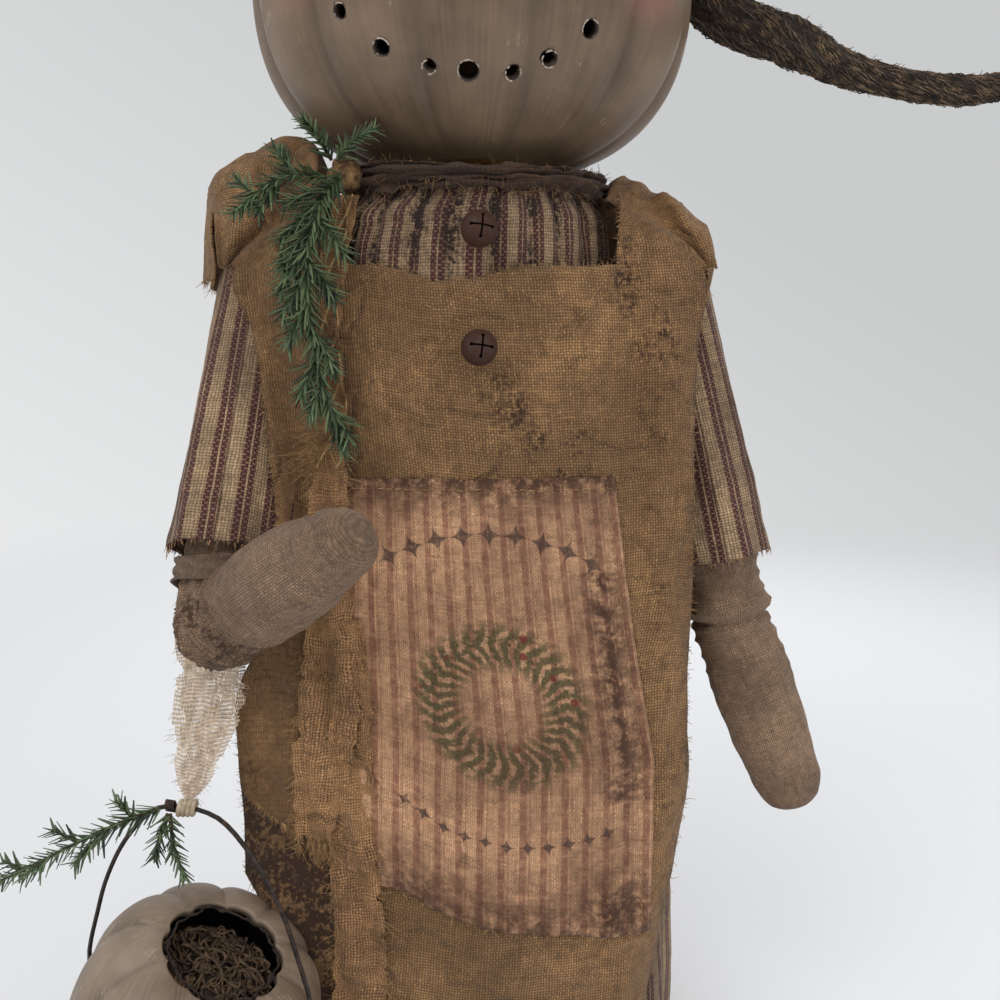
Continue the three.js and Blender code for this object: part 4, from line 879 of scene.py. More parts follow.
def tunic_place(u, v):
    """The net with its neckline, the tent over each shoulder, and room for the sleeve below it."""
    i, j = u * last_column, v * last_row
    point = read_net(i, j)
    if 8 < j < 10.01 and 6 < i < 12:
        sag = hill((point.x + 6) / 27) + 0.35 * hill((point.x + 17) / 5)
        point.z -= 6.0 * sag * (1 - (10 - j) / 2)
    if j <= 10:
        point.y = tunic_front(point.x, point.z)
    elif j < 11:
        point.y += (tunic_front(point.x, front_top) - read_net(i, 10).y) * (11 - j)
    if 9.6 < j < 18.4:
        share = min(1.0, (j - 9.6) / 1.2, (18.4 - j) / 1.2)
        side = 1.0 if i > 9 else -1.0
        tent = 2.6 * sin(i * 2.1 + j * 1.3) + 2.2 * ripple(point.x, point.y, point.z, 21, 3.0)
        tent += 0.9 * ripple(point.x, point.y, point.z, 8, 5.0)
        point += Vector((side * 0.55, 0.25 * (j - 14), 0.9)).normalized() * tent * share
        crease = hill((i - (3.6 if side < 0 else 14.4)) / 0.34) * max(0.0, 1 - abs(j - 11.2) / 2.4)
        point += Vector((0, 7.5, -1.5)) * crease * (1 if j < 14 else 0)
        drape = sin(abs(i - 9) * 2.7 - j * 1.1 + 1.2 * ripple(point.x, point.y, point.z, 30, 8.0))
        swell = 0.8 * share * (1 - 2 * abs(drape) ** 0.6) * (1 if j < 14 else 0.4)
        point += Vector((side * 0.5, -0.5, 0.7)) * swell
    if j < 11.6:
        for pivot, way in ((right_pivot, right_way), (left_pivot, left_way)):
            drop = (point.z - pivot.z) / way.z
            if -8 < drop < 140:
                centre = pivot + way * drop
                aside = abs(point.x - centre.x)
                if aside < over_sleeve:
                    point.y = min(point.y, centre.y - sqrt(over_sleeve**2 - aside**2))
    return point


def tunic_keep(u, v):
    i, j = u * last_column, v * last_row
    if 11 <= j < 17:
        return i < 6 or i >= 12
    if 10 <= j < 11 or 17 <= j < 18:
        return 1.2 < i < 6 or 12 <= i < 16.8
    return 5 <= i < 13


def low_corner(x):
    """Height of the ragged line at the low right corner, under which the cloth is dark."""
    return 174 - 0.67 * (x + 108.7)


def tunic_soil_and_shade(u, v):
    i, j = u * last_column, v * last_row
    place = read_net(i, j)
    x, z = place.x, place.z

    def patch(cx, cz, wide, tall, most):
        return most * hill((x - cx) / wide) * hill((z - cz) / tall)

    rim = max(0.0, 1 - min(abs(i - 13), abs(i - 5) * 2.2) * 1.6) * 0.9
    if j > 18:
        back_hem = max(0.0, (j - 20.4) / 1.4) * 0.8
        return min(1.0, max(rim, back_hem))
    if j > 11:
        left_neck = 1.5 * hill((i - 12.1) / 0.8) if j < 14 else 0.0
        return min(1.0, max(0.35, left_neck))
    under_line = clamp((low_corner(x) - z) / 3) * clamp((-44 - x) / 12) * 2.2
    low = clamp((104 - z) / 50) * 0.6
    # Darker patches: on the chest and in the folds down the left side they are painted shade under the head and in the
    # folds.
    patches = [(14, 352, 18, 34, 1.0), (38, 336, 34, 24, 1.0), (84, 372, 15, 50, 1.1), (70, 414, 9, 26, 1.3),
               (90, 262, 10, 60, 0.7), (-104, 186, 12, 20, 0.7), (36, 62, 44, 14, 0.5), (94, 210, 10, 26, 0.7)]
    return min(2.4, max(rim * 0.8, low, under_line, *[patch(*each) for each in patches]))


tunic_columns, tunic_rows, tunic_flat = 144, 176, (0.3, 0.95)
tunic = cloth_grid("tunic_cloth", tunic_columns, tunic_rows, tunic_flat, tunic_place, [osnaburg], "torso",
                   ["tunic"], keep=tunic_keep, soil_and_shade_rule=tunic_soil_and_shade)


def true_lengths(piece, columns, rows, flat, place_rule):
    """Set the UV map from lengths measured along the rows and columns of the hung cloth."""
    points = [[place_rule(c / columns, r / rows) for c in range(columns + 1)] for r in range(rows + 1)]
    across = [[0.0] * (columns + 1) for _ in points]
    along = [[0.0] * (columns + 1) for _ in points]
    middle = columns // 2
    for r, line in enumerate(points):
        for c in range(middle + 1, columns + 1):
            across[r][c] = across[r][c - 1] + (line[c] - line[c - 1]).length
        for c in range(middle - 1, -1, -1):
            across[r][c] = across[r][c + 1] - (line[c] - line[c + 1]).length
        if r:
            for c in range(columns + 1):
                along[r][c] = along[r - 1][c] + (line[c] - points[r - 1][c]).length
    for entry in piece.data.uv_layers["cloth"].data:
        c = min(columns, round(entry.uv[0] / flat[0] * columns))
        r = min(rows, round(entry.uv[1] / flat[1] * rows))
        entry.uv = (across[r][c] * mm, along[r][c] * mm)


true_lengths(tunic, tunic_columns, tunic_rows, tunic_flat, tunic_place)
wall = tunic.modifiers.new("thickness", "SOLIDIFY")
wall.thickness, wall.offset = 1.1 * mm, 0

# %% [markdown]
# The tunic's edges were torn, so they are fuzzy. The loose threads stand along the neckline, the sides and the hem,
# and a few darts are sewn below the neckline.

# %% Frayed edges of the tunic
def along_edge(u0, v0, u1, v1, out_u, out_v):
    """A straight run on the flat cloth, as points of the hung cloth with the direction out of it."""
    def edge(t):
        u, v = u0 + (u1 - u0) * t, v0 + (v1 - v0) * t
        point = tunic_place(u, v)
        step_u, step_v = out_u * 0.01, out_v * 0.01
        if 0 < u + step_u < 1 and 0 <= v + step_v <= 1:
            return point, tunic_place(u + step_u, v + step_v) - point
        return point, point - tunic_place(u - step_u, v - step_v)
    return edge


edge_runs = [
    (5, 0, 13, 0, 0, -1, 260, 4.5), (5, 0, 5, 10, -1, 0, 300, 2.4), (13, 0, 13, 10, 1, 0, 300, 2.4),
    (6, 10, 12, 10, 0, 1, 170, 3.0), (5, 22, 13, 22, 0, 1, 240, 5.0), (5, 18, 5, 22, -1, 0, 220, 4.0),
    (13, 18, 13, 22, 1, 0, 220, 4.0), (0, 11, 0, 17, -1, 0, 90, 3.2), (18, 11, 18, 17, 1, 0, 90, 3.2),
    (6, 10, 6, 18, 1, 0, 110, 2.6), (12, 10, 12, 18, -1, 0, 110, 2.6)]
for run, (i0, j0, i1, j1, out_u, out_v, count, length) in enumerate(edge_runs):
    edge = along_edge(i0 / last_column, j0 / last_row, i1 / last_column, j1 / last_row, out_u, out_v)
    fray(f"tunic_fray_{run}", edge, tan_thread, "torso", 20 + run, count, length, 0.75, 0.13, 0.7)


def over_tunic(x, z, more):
    return Vector((x, tunic_front(x, z) - more, z))


dart_runs = []
for start, end, many in (((62, 419), (45, 392), 12), ((22, 411), (40, 396), 7), ((40, 396), (52, 372), 8),
                         ((-20, 404), (6, 392), 8)):
    start, span = Vector(start), Vector(end) - Vector(start)
    for index in range(many):
        ends = [over_tunic(*(start + span * t), 0.75) for t in (index / many, (index + 0.6) / many)]
        dart_runs.append((ends, 0.24))
hem_threads = random.Random(6)
for _ in range(170):
    x = hem_threads.uniform(-108, -58)
    top = over_tunic(x, low_corner(x), 0.9)
    drop = Vector((hem_threads.uniform(-1.6, 1.6), -0.3, -hem_threads.uniform(1.0, 3.6)))
    dart_runs.append(([top + Vector((0, 0.4, 0.6)), top, top + drop], [0.14, 0.14, 0.08]))
strands("tunic_stitches", dart_runs, [tan_thread], "torso")

# %% [markdown]
# ## Sack panel
# A piece of printed flour sack is sewn on the tunic's front. Its print is thin red stripes with a wreath of leaves and
# berries and two arcs of small stars. Both are drawn by the material from the panel's own UV map.

# %% Sack print
def sack_print(tree, uv, ground):
    """Red stripes, a wreath and two arcs of stars over the ground colour, all in metres on the panel."""
    u, v = tree.split(uv)[0:2]
    stripe_repeat, middle_u = 0.0086, 0.066
    wavy = tree.times_plus(tree.noise(uv, 20.0, 2.0), 0.0012, u)
    repeat = tree.fraction(tree.over(wavy, stripe_repeat))

    def stripe(middle, low, high, strength):
        return tree.spread(tree.absolute(tree.minus(repeat, middle)), low, high, strength, 0.0)

    worn = tree.spread(tree.noise(uv, 260.0, 4.0, 0.7), 0.3, 0.6, 0.35, 1.0)
    red = tree.times(tree.most(stripe(0.5, 0.13, 0.19, 1.0), stripe(0.82, 0.03, 0.06, 0.55)), worn)
    color = tree.blend(tree.times(red, 0.66), ground, rgba(122, 58, 50))

    def polar(middle_v, radius):
        """Direction from a centre, and distance from a circle round it."""
        du, dv = tree.minus(u, middle_u), tree.minus(v, middle_v)
        away = tree.root(tree.plus(tree.times(du, du), tree.times(dv, dv)))
        return tree.angle(dv, du), tree.absolute(tree.minus(away, radius))

    wreath_radius, half_wreath, soft_rim = 0.027, 0.0118, 0.006
    turn, off = polar(0.1, wreath_radius)
    wreath = tree.spread(off, half_wreath - soft_rim, half_wreath, 1.0, 0.0)
    leaf_wave = tree.sine(tree.times_plus(off, 520.0, tree.times(turn, 31.0)))
    leaf = tree.times_plus(leaf_wave, 0.11, tree.noise(uv, 330.0, 4.0, 0.7))
    leaves = tree.times(tree.power(wreath, 0.7), tree.spread(leaf, 0.4, 0.52))
    green = tree.blend(tree.spread(tree.noise(uv, 700.0, 3.0), 0.35, 0.62), rgba(34, 46, 24), rgba(84, 92, 48))
    color = tree.blend(tree.times(leaves, 0.86), color, green)
    spots = tree.put("ShaderNodeTexVoronoi", {"Vector": uv, "Scale": 118.0, "Randomness": 0.75})
    berry = tree.times(tree.spread(spots.outputs[0], 0.2, 0.27, 1.0, 0.0), wreath)
    color = tree.blend(tree.times(berry, 0.9), color, rgba(120, 34, 32))

    def star_arc(middle_v, radius, first, last, many, size):
        """Small four-pointed stars, evenly spaced between two directions in degrees."""
        direction, off = polar(middle_v, radius)
        steps = many / radians(last - first)
        along = tree.times(tree.minus(direction, radians(first)), steps)
        sideways = tree.absolute(tree.times(tree.minus(tree.fraction(along), 0.5), radius / steps))
        point = tree.plus(tree.root(sideways), tree.root(off))
        star = tree.spread(point, sqrt(size) * 0.86, sqrt(size), 1.0, 0.0)
        return tree.times(star, tree.times(tree.above(along, 0.0), tree.below(along, float(many))))

    stars = tree.most(star_arc(0.09, 0.086, 54, 126, 9, 0.0078), star_arc(0.15, 0.112, -114, -66, 11, 0.005))
    marks = tree.times(stars, tree.spread(tree.noise(uv, 500.0, 3.0), 0.3, 0.5, 0.4, 0.85))
    color = tree.blend(marks, color, rgba(58, 46, 44))
    crust = tree.spread(tree.noise(uv, 150.0, 5.0, 0.7), 0.4, 0.56)
    return tree.blend(tree.times(tree.attribute("soil"), crust), color, rgba(54, 34, 24))


sack_cloth = cloth_finish(
    "sack_cotton", rgba(212, 166, 128), rgba(204, 157, 118), 0.00095, rgba(84, 54, 38), stain=0.62,
    paint_over=sack_print, stain_and_shade_color=rgba(74, 45, 28))


# %% Sack panel cloth
def sack_point(u, v, more=0.0):
    down = 1 - v
    left = -58.5 - 1.5 * down
    right = 66.5 + 20 * min(1.0, down / 0.62) ** 1.2 - 3 * max(0.0, down - 0.62)
    x = left + (right - left) * u + 1.0 * ripple(down * 90, u * 5, 0, 20, 8.0) * abs(2 * u - 1) ** 3
    tall = 183 + 36 * u + 9 * sin(pi * u)
    height = 326.5 - tall * down + 1.6 * ripple(x, 3, 1, 19, 6.0) * down + 0.8 * ripple(x, 9, 1, 9, 2.0) * (1 - down)
    lift = 1.0 + 1.5 * max(0.0, down - 0.9) * 10 * (0.5 + 0.5 * sin(x / 9))
    own = 0.45 * ripple(x, height, 0, 16, 12.0) + 0.35 * ripple(x, height, 0, 6, 5.0)
    return Vector((x, tunic_front(x, height) - 1.25 - lift * 0.6 - own - more, height))


def sack_soil(u, v):
    top = max(0.0, 1 - (1 - v) * 11) * 1.0
    right = max(0.0, 1 - abs(u - 0.9) * 7) * (0.95 if 0.3 < v < 0.8 else 0.4)
    corner = hill((u - 0.88) / 0.16) * hill((v - 0.05) / 0.1) * 0.95
    low = max(0.0, 1 - v * 6) * 0.8
    return min(1.0, max(top, right, corner, low))


sack = cloth_grid("printed_sack", 110, 150, (0.127, 0.2), sack_point, [sack_cloth], "torso",
                  ["sack_panel"], soil_and_shade_rule=sack_soil, thick=0.7)
for side, u0, v0, u1, v1, count, away in (("low", 0, 0, 1, 0, 150, (0, 0, -1)), ("top", 0, 1, 1, 1, 60, (0, 0, 1)),
                                          ("side", 1, 0, 1, 1, 90, (1, 0, 0))):
    def sack_edge(t):
        return sack_point(u0 + (u1 - u0) * t, v0 + (v1 - v0) * t), away
    fray(f"sack_fray_{side}", sack_edge, tan_thread, "torso", count, count, 2.6, 0.5, 0.11)


def stitch(u, v, step_u, step_v, aside_u, aside_v):
    """A short thread over the sack: in, up over the cloth and in again one step on."""
    steps = ((0, 0, 0.7), (step_u / 2 + aside_u, step_v / 2 + aside_v, 1.0), (step_u, step_v, 0.7))
    return [sack_point(u + du, v + dv, more) for du, dv, more in steps], 0.22


stitch_runs = [stitch(0.965, 0.03 + index / 46, 0, 0.014, 0.002, 0) for index in range(44)]
stitch_runs += [stitch(0.03 + index / 31, 0.975, 0.02, 0, 0, 0.001) for index in range(30)]
strands("sack_stitches", stitch_runs, [tan_thread], "torso")

# %% [markdown]
# ## Arms
# Each arm is a stuffed tube sewn with a bend at the elbow. Two tapered bodies are joined by a voxel remesh, which
# leaves one skin with a soft crease between them. Weave coordinates are then unwrapped round whichever part is nearer.

# %% Stuffed arms
def limb_body(shape, start, end, radii, squash=1.0, square_end=2.0):
    """One closed tapered body along a line, in metres, made from a grid that is wrapped round it."""
    way = (end - start).normalized()
    first, second = beside(way)
    made = bmesh.ops.create_grid(shape, x_segments=32, y_segments=40, size=0.5)["verts"]
    length = (end - start).length
    table = [[index / (len(radii) - 1), value] for index, value in enumerate(radii)]
    dome = 0.15
    for vert in made:
        angle, t = (vert.co.x + 0.5) * 2 * pi, (vert.co.y + 0.5) * (1 + 2 * dome) - dome
        reach, radius = t, smooth(table, clamp(t))[0]
        if t < 0:
            bend = min(1.0, -t / dome) * pi / 2
            reach, radius = -sin(bend) * radii[0] / length, radius * cos(bend)
        if t > 1:
            bend = min(1.0, (t - 1) / dome) * pi / 2
            reach, radius = 1 + sin(bend) * radii[-1] / length, radius * max(0.0, cos(bend)) ** (2 / square_end)
        centre = start + way * (reach * length)
        vert.co = (centre + first * cos(angle) * radius + second * sin(angle) * radius * squash) * mm
    bmesh.ops.remove_doubles(shape, verts=made, dist=0.00004)


def soft_arm(name, nodes, upper, fore, voxel, crumple, seed, dent, fold_share, soil_near, painted_shade_all):
    """One skin over both parts of an arm, in millimetres, with folds and soil that gather at the elbow."""
    shape = bmesh.new()
    limb_body(shape, *upper)
    limb_body(shape, *fore[:3], **fore[3])
    bmesh.ops.recalc_face_normals(shape, faces=shape.faces)
    draft = add_object(name + "_draft", mesh_from(shape, name + "_draft"))
    for kind, values in (("REMESH", {"mode": "VOXEL", "voxel_size": voxel * mm}),
                         ("SMOOTH", {"factor": 0.5, "iterations": 5})):
        modifier = draft.modifiers.new(kind, kind)
        for key, value in values.items():
            setattr(modifier, key, value)
    skin = baked(draft)
    bpy.data.objects.remove(draft)
    shape = bmesh.new()
    shape.from_mesh(skin)
    shape.normal_update()
    axes = [upper[:2], fore[:2]]
    elbow, hand = fore[:2]

    def nearer(point):
        """0 where the upper arm's line is nearer, and 1 where the forearm's is."""
        def away(index):
            start, end = axes[index]
            way = end - start
            share = clamp((point - start).dot(way) / way.length_squared)
            return (point - start - way * share).length
        return min((0, 1), key=away)

    def crumpled(point):
        push = crumple * (0.5 * ripple(*point, 15, seed) + 0.12 * ripple(*point, 6, seed + 4))
        fold = (point - elbow).dot((hand - elbow).normalized()) / 2.7 + 2.6 * ripple(*point, 22, seed + 2)
        near = max(0.0, 1 - (point - elbow).length / 46)
        push += near * crumple * fold_share * (1 - 2 * abs(sin(fold)) ** 0.7)
        return push + dent(point)

    moves = [vert.normal * crumpled(vert.co / mm) * mm for vert in shape.verts]
    for vert, move in zip(shape.verts, moves):
        vert.co += move
    layer = shape.loops.layers.uv.new("cloth")
    soil = shape.verts.layers.float.new("soil")
    for vert in shape.verts:
        near = max(0.0, 1 - (vert.co / mm - elbow).length / 36)
        # Darker round the elbow; the even part over the whole arm is painted shade.
        vert[soil] = min(1.0, near * soil_near + painted_shade_all)
    girth_radius = 21
    for each in shape.faces:
        each.smooth = True
        middle = each.calc_center_median() / mm
        index = nearer(middle)
        start, end = axes[index]
        way = (end - start).normalized()
        first, second = beside(way)
        base = atan2((middle - start).dot(second), (middle - start).dot(first))
        for loop in each.loops:
            offset = loop.vert.co / mm - start
            angle = atan2(offset.dot(second), offset.dot(first))
            angle -= 2 * pi * round((angle - base) / (2 * pi))
            loop[layer].uv = (angle * girth_radius * mm, offset.dot(way) * mm + index)
    piece = finish_piece(name, mesh_from(shape, name), [arm_cloth], None, nodes)
    return piece


right_elbow, right_hand = Vector((-112.6, -74.996, 261.4)), Vector((-52.2, -121.038, 306.6))
left_elbow, left_hand = Vector((131.015, -9.65, 248.872)), Vector((163.137, -13.699, 164.922))


def mitten_dart(point):
    """The folded dart along the top of the right hand, as a shallow groove."""
    way = (right_hand - right_elbow).normalized()
    along = (point - right_elbow).dot(way)
    side = (point - right_elbow - way * along)
    level = side.dot(Vector((0.35, -0.72, 0.6)).normalized())
    groove = hill(((point.z - 318) + (point.x + 62) * 0.62) / 2.4) * (1 if level > 0 else 0)
    return -1.5 * groove * clamp((along - 46) / 26)


def elbow_roll(point):
    """The seam round the left elbow: a sharp fold with the upper arm's cloth rolled over it."""
    along = (point - left_elbow).dot(left_way)
    return 2.0 * hill((along + 6) / 5) - 3.4 * hill((along - 0.5) / 1.7) - 0.8 * hill((along + 22) / 4)


# The right arm is darkened all over as painted shade, for the shade that its hand lies in.
right_arm = soft_arm(
    "right_arm_skin", ["right_upper_arm", "right_forearm"],
    (right_pivot, right_elbow, [22.2, 22.8, 23.2, 22.4, 21, 20.4]),
    (right_elbow, right_hand, [18.2, 20.6, 22.2, 22, 20, 16.4], {"squash": 0.95}),
    voxel=1.5, crumple=2.4, seed=1.0, dent=mitten_dart, fold_share=1.3, soil_near=1.3, painted_shade_all=0.46)
left_arm = soft_arm(
    "left_arm_skin", ["left_upper_arm", "left_forearm"],
    (left_pivot, left_elbow, [20.6, 21.4, 22.4, 22.2, 21, 20.4]),
    (left_elbow, left_hand, [19.6, 20.6, 21.4, 20.8, 19.6, 17.6], {"squash": 0.86, "square_end": 3.4}),
    voxel=1.7, crumple=2.2, seed=5.0, dent=elbow_roll, fold_share=0.8, soil_near=0.7, painted_shade_all=0.05)
for piece, side, elbow, before, after in (
        (right_arm, "right", right_elbow, right_way, Vector((.673, -.512, .534))),
        (left_arm, "left", left_elbow, left_way, Vector((.357, -.045, -.933)))):
    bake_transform(piece)
print("arms", len(right_arm.data.polygons), len(left_arm.data.polygons))

# %% [markdown]
# ## Sleeves
# The sleeves are short tubes of the same ticking, closed round the shoulder and left raw at the hem. They hang with
# a few lengthwise folds, and the hem is a little wider than the arm.

# %% Sleeves
def sleeve_rule(pivot, way, seed, snug):
    """Place a sleeve's cloth: the length counts from the hem (v 0) up to the closed shoulder (v 1)."""
    first, second = beside(way)
    sleeve_long, shoulder_radius, dome = 149.2, 23.5, 0.12

    def rule(u, v):
        angle = 2 * pi * (u + 0.25)
        t = (1 + dome) * (1 - v) - dome
        radius = 24.6 + 3.4 * max(0.0, t) - snug * max(0.0, 1 - abs(t) * 1.2)
        along = t * sleeve_long
        if t < 0:
            bend = min(1.0, -t / dome) * pi / 2
            along, radius = -sin(bend) * shoulder_radius, radius * cos(bend)
        else:
            folds = 1.3 * sin(3 * angle + seed) + 0.9 * sin(7 * angle + 2 * seed + along / 60)
            crumple = 0.8 * ripple(angle * 20, along, seed, 22, seed) + 0.4 * ripple(angle * 20, along, seed, 8, seed)
            radius += clamp(t * 1.6) * folds + crumple * min(1.0, 1.2 - v)
        along += 1.4 * ripple(angle * 24, 0, 0, 20, seed) * max(0.0, t)
        return pivot + way * along + first * cos(angle) * radius + second * sin(angle) * radius
    return rule


for side, pivot, way, seed, snug in (("right", right_pivot, right_way, 1.7, 0.0),
                                     ("left", left_pivot, left_way, 4.1, 2.2)):
    way = way.normalized()
    rule = sleeve_rule(pivot, way, seed, snug)
    piece = cloth_grid(f"{side}_sleeve_cloth", 120, 110, (0.1595, 0.178), rule, [striped], f"{side}_arm",
                       [f"{side}_sleeve"], closed=True, thick=0.8,
                       soil_and_shade_rule=lambda u, v: max(0.0, 0.5 - v * 10))
    for kind, thread, draw, count, length, thick in (("fringe", tan_thread, 0, 150, 3.6, 0.17),
                                                     ("wine_fringe", wine_thread, 1, 70, 3.0, 0.16)):
        fray(f"{side}_sleeve_{kind}", lambda t: (rule(t, 0.004), way), thread, f"{side}_arm",
             int(seed * 10) + draw, count, length, 0.35, thick)
print("sleeves done")

# %% [markdown]
# ## Pumpkin head
# A craft pumpkin is a squarish ball with soft ribs that run from pole to pole. Brush marks and a thin worn glaze
# follow the ribs. The mouth, the eyes and the nose are drilled, so a Boolean cuts them and a chipped rim follows.

# %% Painted pumpkin finish
def pumpkin_finish(name, centre, light, dark, blush_at=(), scuffs=0.5):
    """Thin paint brushed round the pumpkin's own axis, with pink cheeks, scuffs and chipped rims."""
    finish, tree = new_finish(name)
    place = tree.place()
    local = tree.split(tree.vector("SUBTRACT", place, tuple(centre * mm)))
    angle = tree.angle(local[1], local[0])
    round_it, up_it = 34.0, 16.0
    strokes = tree.join(tree.times(tree.sine(angle), round_it), tree.times(tree.cosine(angle), round_it),
                        tree.times(local[2], up_it))
    brush = tree.noise(strokes, 1.6, 4.0, 0.6)
    tone = tree.times_plus(brush, 0.32, tree.times(tree.noise(place, 26.0, 4.0, 0.6), 0.68))
    color = tree.blend(tree.spread(tone, 0.34, 0.66), dark, light)
    color = tree.blend(tree.times(tree.attribute("groove"), 0.42), color, rgba(66, 52, 42))
    for spot, size in blush_at:
        near = tree.vector("DISTANCE", place, spot, 1)
        pink = tree.spread(tree.times_plus(brush, 0.012, near), size * 0.35, size * 1.15, 0.55, 0.0)
        color = tree.blend(pink, color, rgba(176, 104, 98))
    rubbed = tree.times_plus(brush, 0.4, tree.noise(place, 60.0, 5.0, 0.7))
    scuff = tree.spread(rubbed, 0.92 - 0.1 * scuffs, 1.0 - 0.1 * scuffs)
    color = tree.blend(tree.times(scuff, 0.5), color, rgba(176, 160, 138))
    broken = tree.times_plus(tree.noise(place, 900.0, 3.0, 0.7), 0.7, tree.attribute("rim"))
    color = tree.blend(tree.spread(broken, 0.95, 1.1), color, rgba(52, 40, 34))
    relief = tree.bump(0.2, 0.0006, brush)
    fine = tree.bump(0.25, 0.0002, tree.noise(place, 500.0, 4.0, 0.6), Normal=relief)
    tree.surface(color, tree.spread(brush, 0.3, 0.7, 0.42, 0.6), Normal=fine)
    return finish


hollow, tree = new_finish("hollow_dark")
deep = tree.noise(tree.place(), 300.0, 3.0)
tree.surface(tree.blend(deep, rgba(24, 20, 18), rgba(12, 10, 9)), 0.95)
head_centre = Vector((0, 0, 561.3))
head_paint = pumpkin_finish("pumpkin_paint", head_centre, rgba(135, 113, 92), rgba(95, 76, 58),
                            [((0.082, -0.068, 0.545), 0.03), ((-0.078, -0.072, 0.552), 0.03)])

# %% Ribbed shell
ribbed_square = 2.6


def ribbed_point(half, lobes, groove, phase, u, latitude, inset=0.0):
    """A point of a ribbed ball round the origin; returns it with how deep in a groove it lies."""
    level = max(0.0, cos(latitude)) ** (2 / ribbed_square)
    lift = abs(sin(latitude)) ** (2 / ribbed_square) * copysign(1, latitude)
    turn = 2 * pi * u
    valley = (1 - abs(sin(lobes * turn / 2))) ** 2.0
    swell = 0.35 * abs(sin(lobes * turn / 2))
    angle = turn + radians(phase) - pi / 2
    rib = (groove * 1.3 * valley - swell * groove * 0.4) * level
    a, b, c = (value - inset for value in half)
    return Vector(((a * level - rib) * cos(angle), (b * level - rib) * sin(angle), c * lift)), valley * level


def ribbed_shell(name, half, lobes, groove, phase, low, high, columns, rows, move, keep=None, dent=None):
    """Mesh of a ribbed ball between two latitudes, with a groove and a rim attribute."""
    shape = bmesh.new()
    bmesh.ops.create_grid(shape, x_segments=columns, y_segments=rows, size=0.5)
    valley_layer = shape.verts.layers.float.new("groove")
    shape.verts.layers.float.new("rim")
    for vert in shape.verts:
        u, v = vert.co.x + 0.5, vert.co.y + 0.5
        latitude = radians(low + (high - low) * v)
        point, valley = ribbed_point(half, lobes, groove, phase, u, latitude)
        if dent:
            point = dent(point)
        vert[valley_layer] = valley
        vert.co = move(point) * mm
    bmesh.ops.remove_doubles(shape, verts=shape.verts, dist=0.00003)
    if keep:
        gone = [each for each in shape.faces if not keep(each.calc_center_median() / mm)]
        bmesh.ops.delete(shape, geom=gone, context="FACES")
    return mesh_from(shape, name)


def cut_holes(piece, drills, wall, inside_index):
    """Give the shell its wall, then cut round holes of (point, direction, radius) in millimetres."""
    solid = piece.modifiers.new("wall", "SOLIDIFY")
    solid.thickness, solid.offset, solid.material_offset = wall * mm, -1, inside_index
    shape = bmesh.new()
    for point, direction, radius in drills:
        turn = direction.to_track_quat("Z", "Y").to_matrix().to_4x4()
        bmesh.ops.create_cone(shape, cap_ends=True, segments=24, radius1=radius * mm, radius2=radius * mm,
                              depth=wall * 3.2 * mm, matrix=Matrix.Translation(point * mm) @ turn)
    tool = add_object(piece.name + "_drills", mesh_from(shape, piece.name + "_drills"))
    cut = piece.modifiers.new("holes", "BOOLEAN")
    cut.operation, cut.object, cut.solver = "DIFFERENCE", tool, "EXACT"
    made = baked(piece)
    piece.modifiers.clear()
    piece.data = made
    bpy.data.objects.remove(tool)
    rim = made.attributes["rim"].data

    def rim_share(spot, point, direction, radius):
        if (spot - point).length >= radius * 2.2:
            return 0.0
        return max(0.0, 1 - abs((spot - point).cross(direction).length - radius) / (radius * 0.34))

    for index, vert in enumerate(made.vertices):
        rim[index].value = max(rim_share(vert.co / mm, *drill) for drill in drills)
    for polygon in made.polygons:
        polygon.use_smooth = True


# %% Head with its drilled face
head_half = (105, 100, 93)
mouth_shares = [(-.5, -.43, .85), (-.34, -.585, .95), (-.155, -.67, .75), (0, -.685, 1.15), (.175, -.69, .85),
                (.32, -.63, .9), (.477, -.5, 1)]
eye_and_nose_shares = [(-.36, .16, 1.65), (.36, .16, 1.65), (0, -.12, .9)]
drills = []
for across, up, share in mouth_shares + eye_and_nose_shares:
    level = (1 - abs(up) ** ribbed_square) ** (1 / ribbed_square)
    half_x, half_y, half_z = head_half
    front = Vector((half_x * across, -half_y * sqrt(max(0, level**2 - across**2)), half_z * up))
    drills.append((front + head_centre, front.normalized(), 3.6 * share))
head_data = ribbed_shell("pumpkin_head_shell", head_half, 12, 4, 17, -74, 66, 264, 110,
                         lambda point: point + head_centre)
head = finish_piece("painted_head", head_data, [head_paint, hollow], "head", ["pumpkin_head"])
cut_holes(head, drills, 6, 1)
chip_rng = random.Random(8)
chip_runs = []
for point, direction, radius in drills:
    first = direction.orthogonal().normalized()
    second = direction.cross(first)
    for _ in range(9):
        start = chip_rng.uniform(0, 2 * pi)
        span = chip_rng.uniform(0.35, 0.9)
        ring = []
        for angle in [start + span * step / 5 for step in range(6)]:
            spot = point + (first * cos(angle) + second * sin(angle)) * radius * chip_rng.uniform(1.02, 1.1)
            ring.append(spot + direction * 0.12)
        chip_runs.append((ring, [0.12, 0.34, 0.42, 0.38, 0.3, 0.1]))
pale_chip = thread_finish("pale_chip", rgba(206, 194, 178), rgba(150, 134, 118), 400.0, 0.8)
strands("hole_chips", chip_runs, [pale_chip], "head")
print("head", len(head.data.polygons))

# %% [markdown]
# ## Cap and its tail
# The cap is dark felted wool: a dome over the pumpkin's top, a rolled cuff and one long wired tail that droops past
# the head and kicks out. The tail's skin is pushed in and out by noise, and short fibres stand off it.

# %% Cap crown and cuff
def head_ring(latitude, u, by):
    half = tuple(value + by for value in head_half)
    return ribbed_point(half, 12, 1.6, 17, u, latitude)[0] + head_centre


crown_edge = 20


def crown_rule(u, v):
    latitude = radians(crown_edge + (90 - crown_edge) * v)
    point = head_ring(latitude, u, 3.0)
    point += (point - head_centre).normalized() * (0.8 * ripple(*point, 14, 2.0) + 0.5 * ripple(*point, 5, 6.0))
    return point


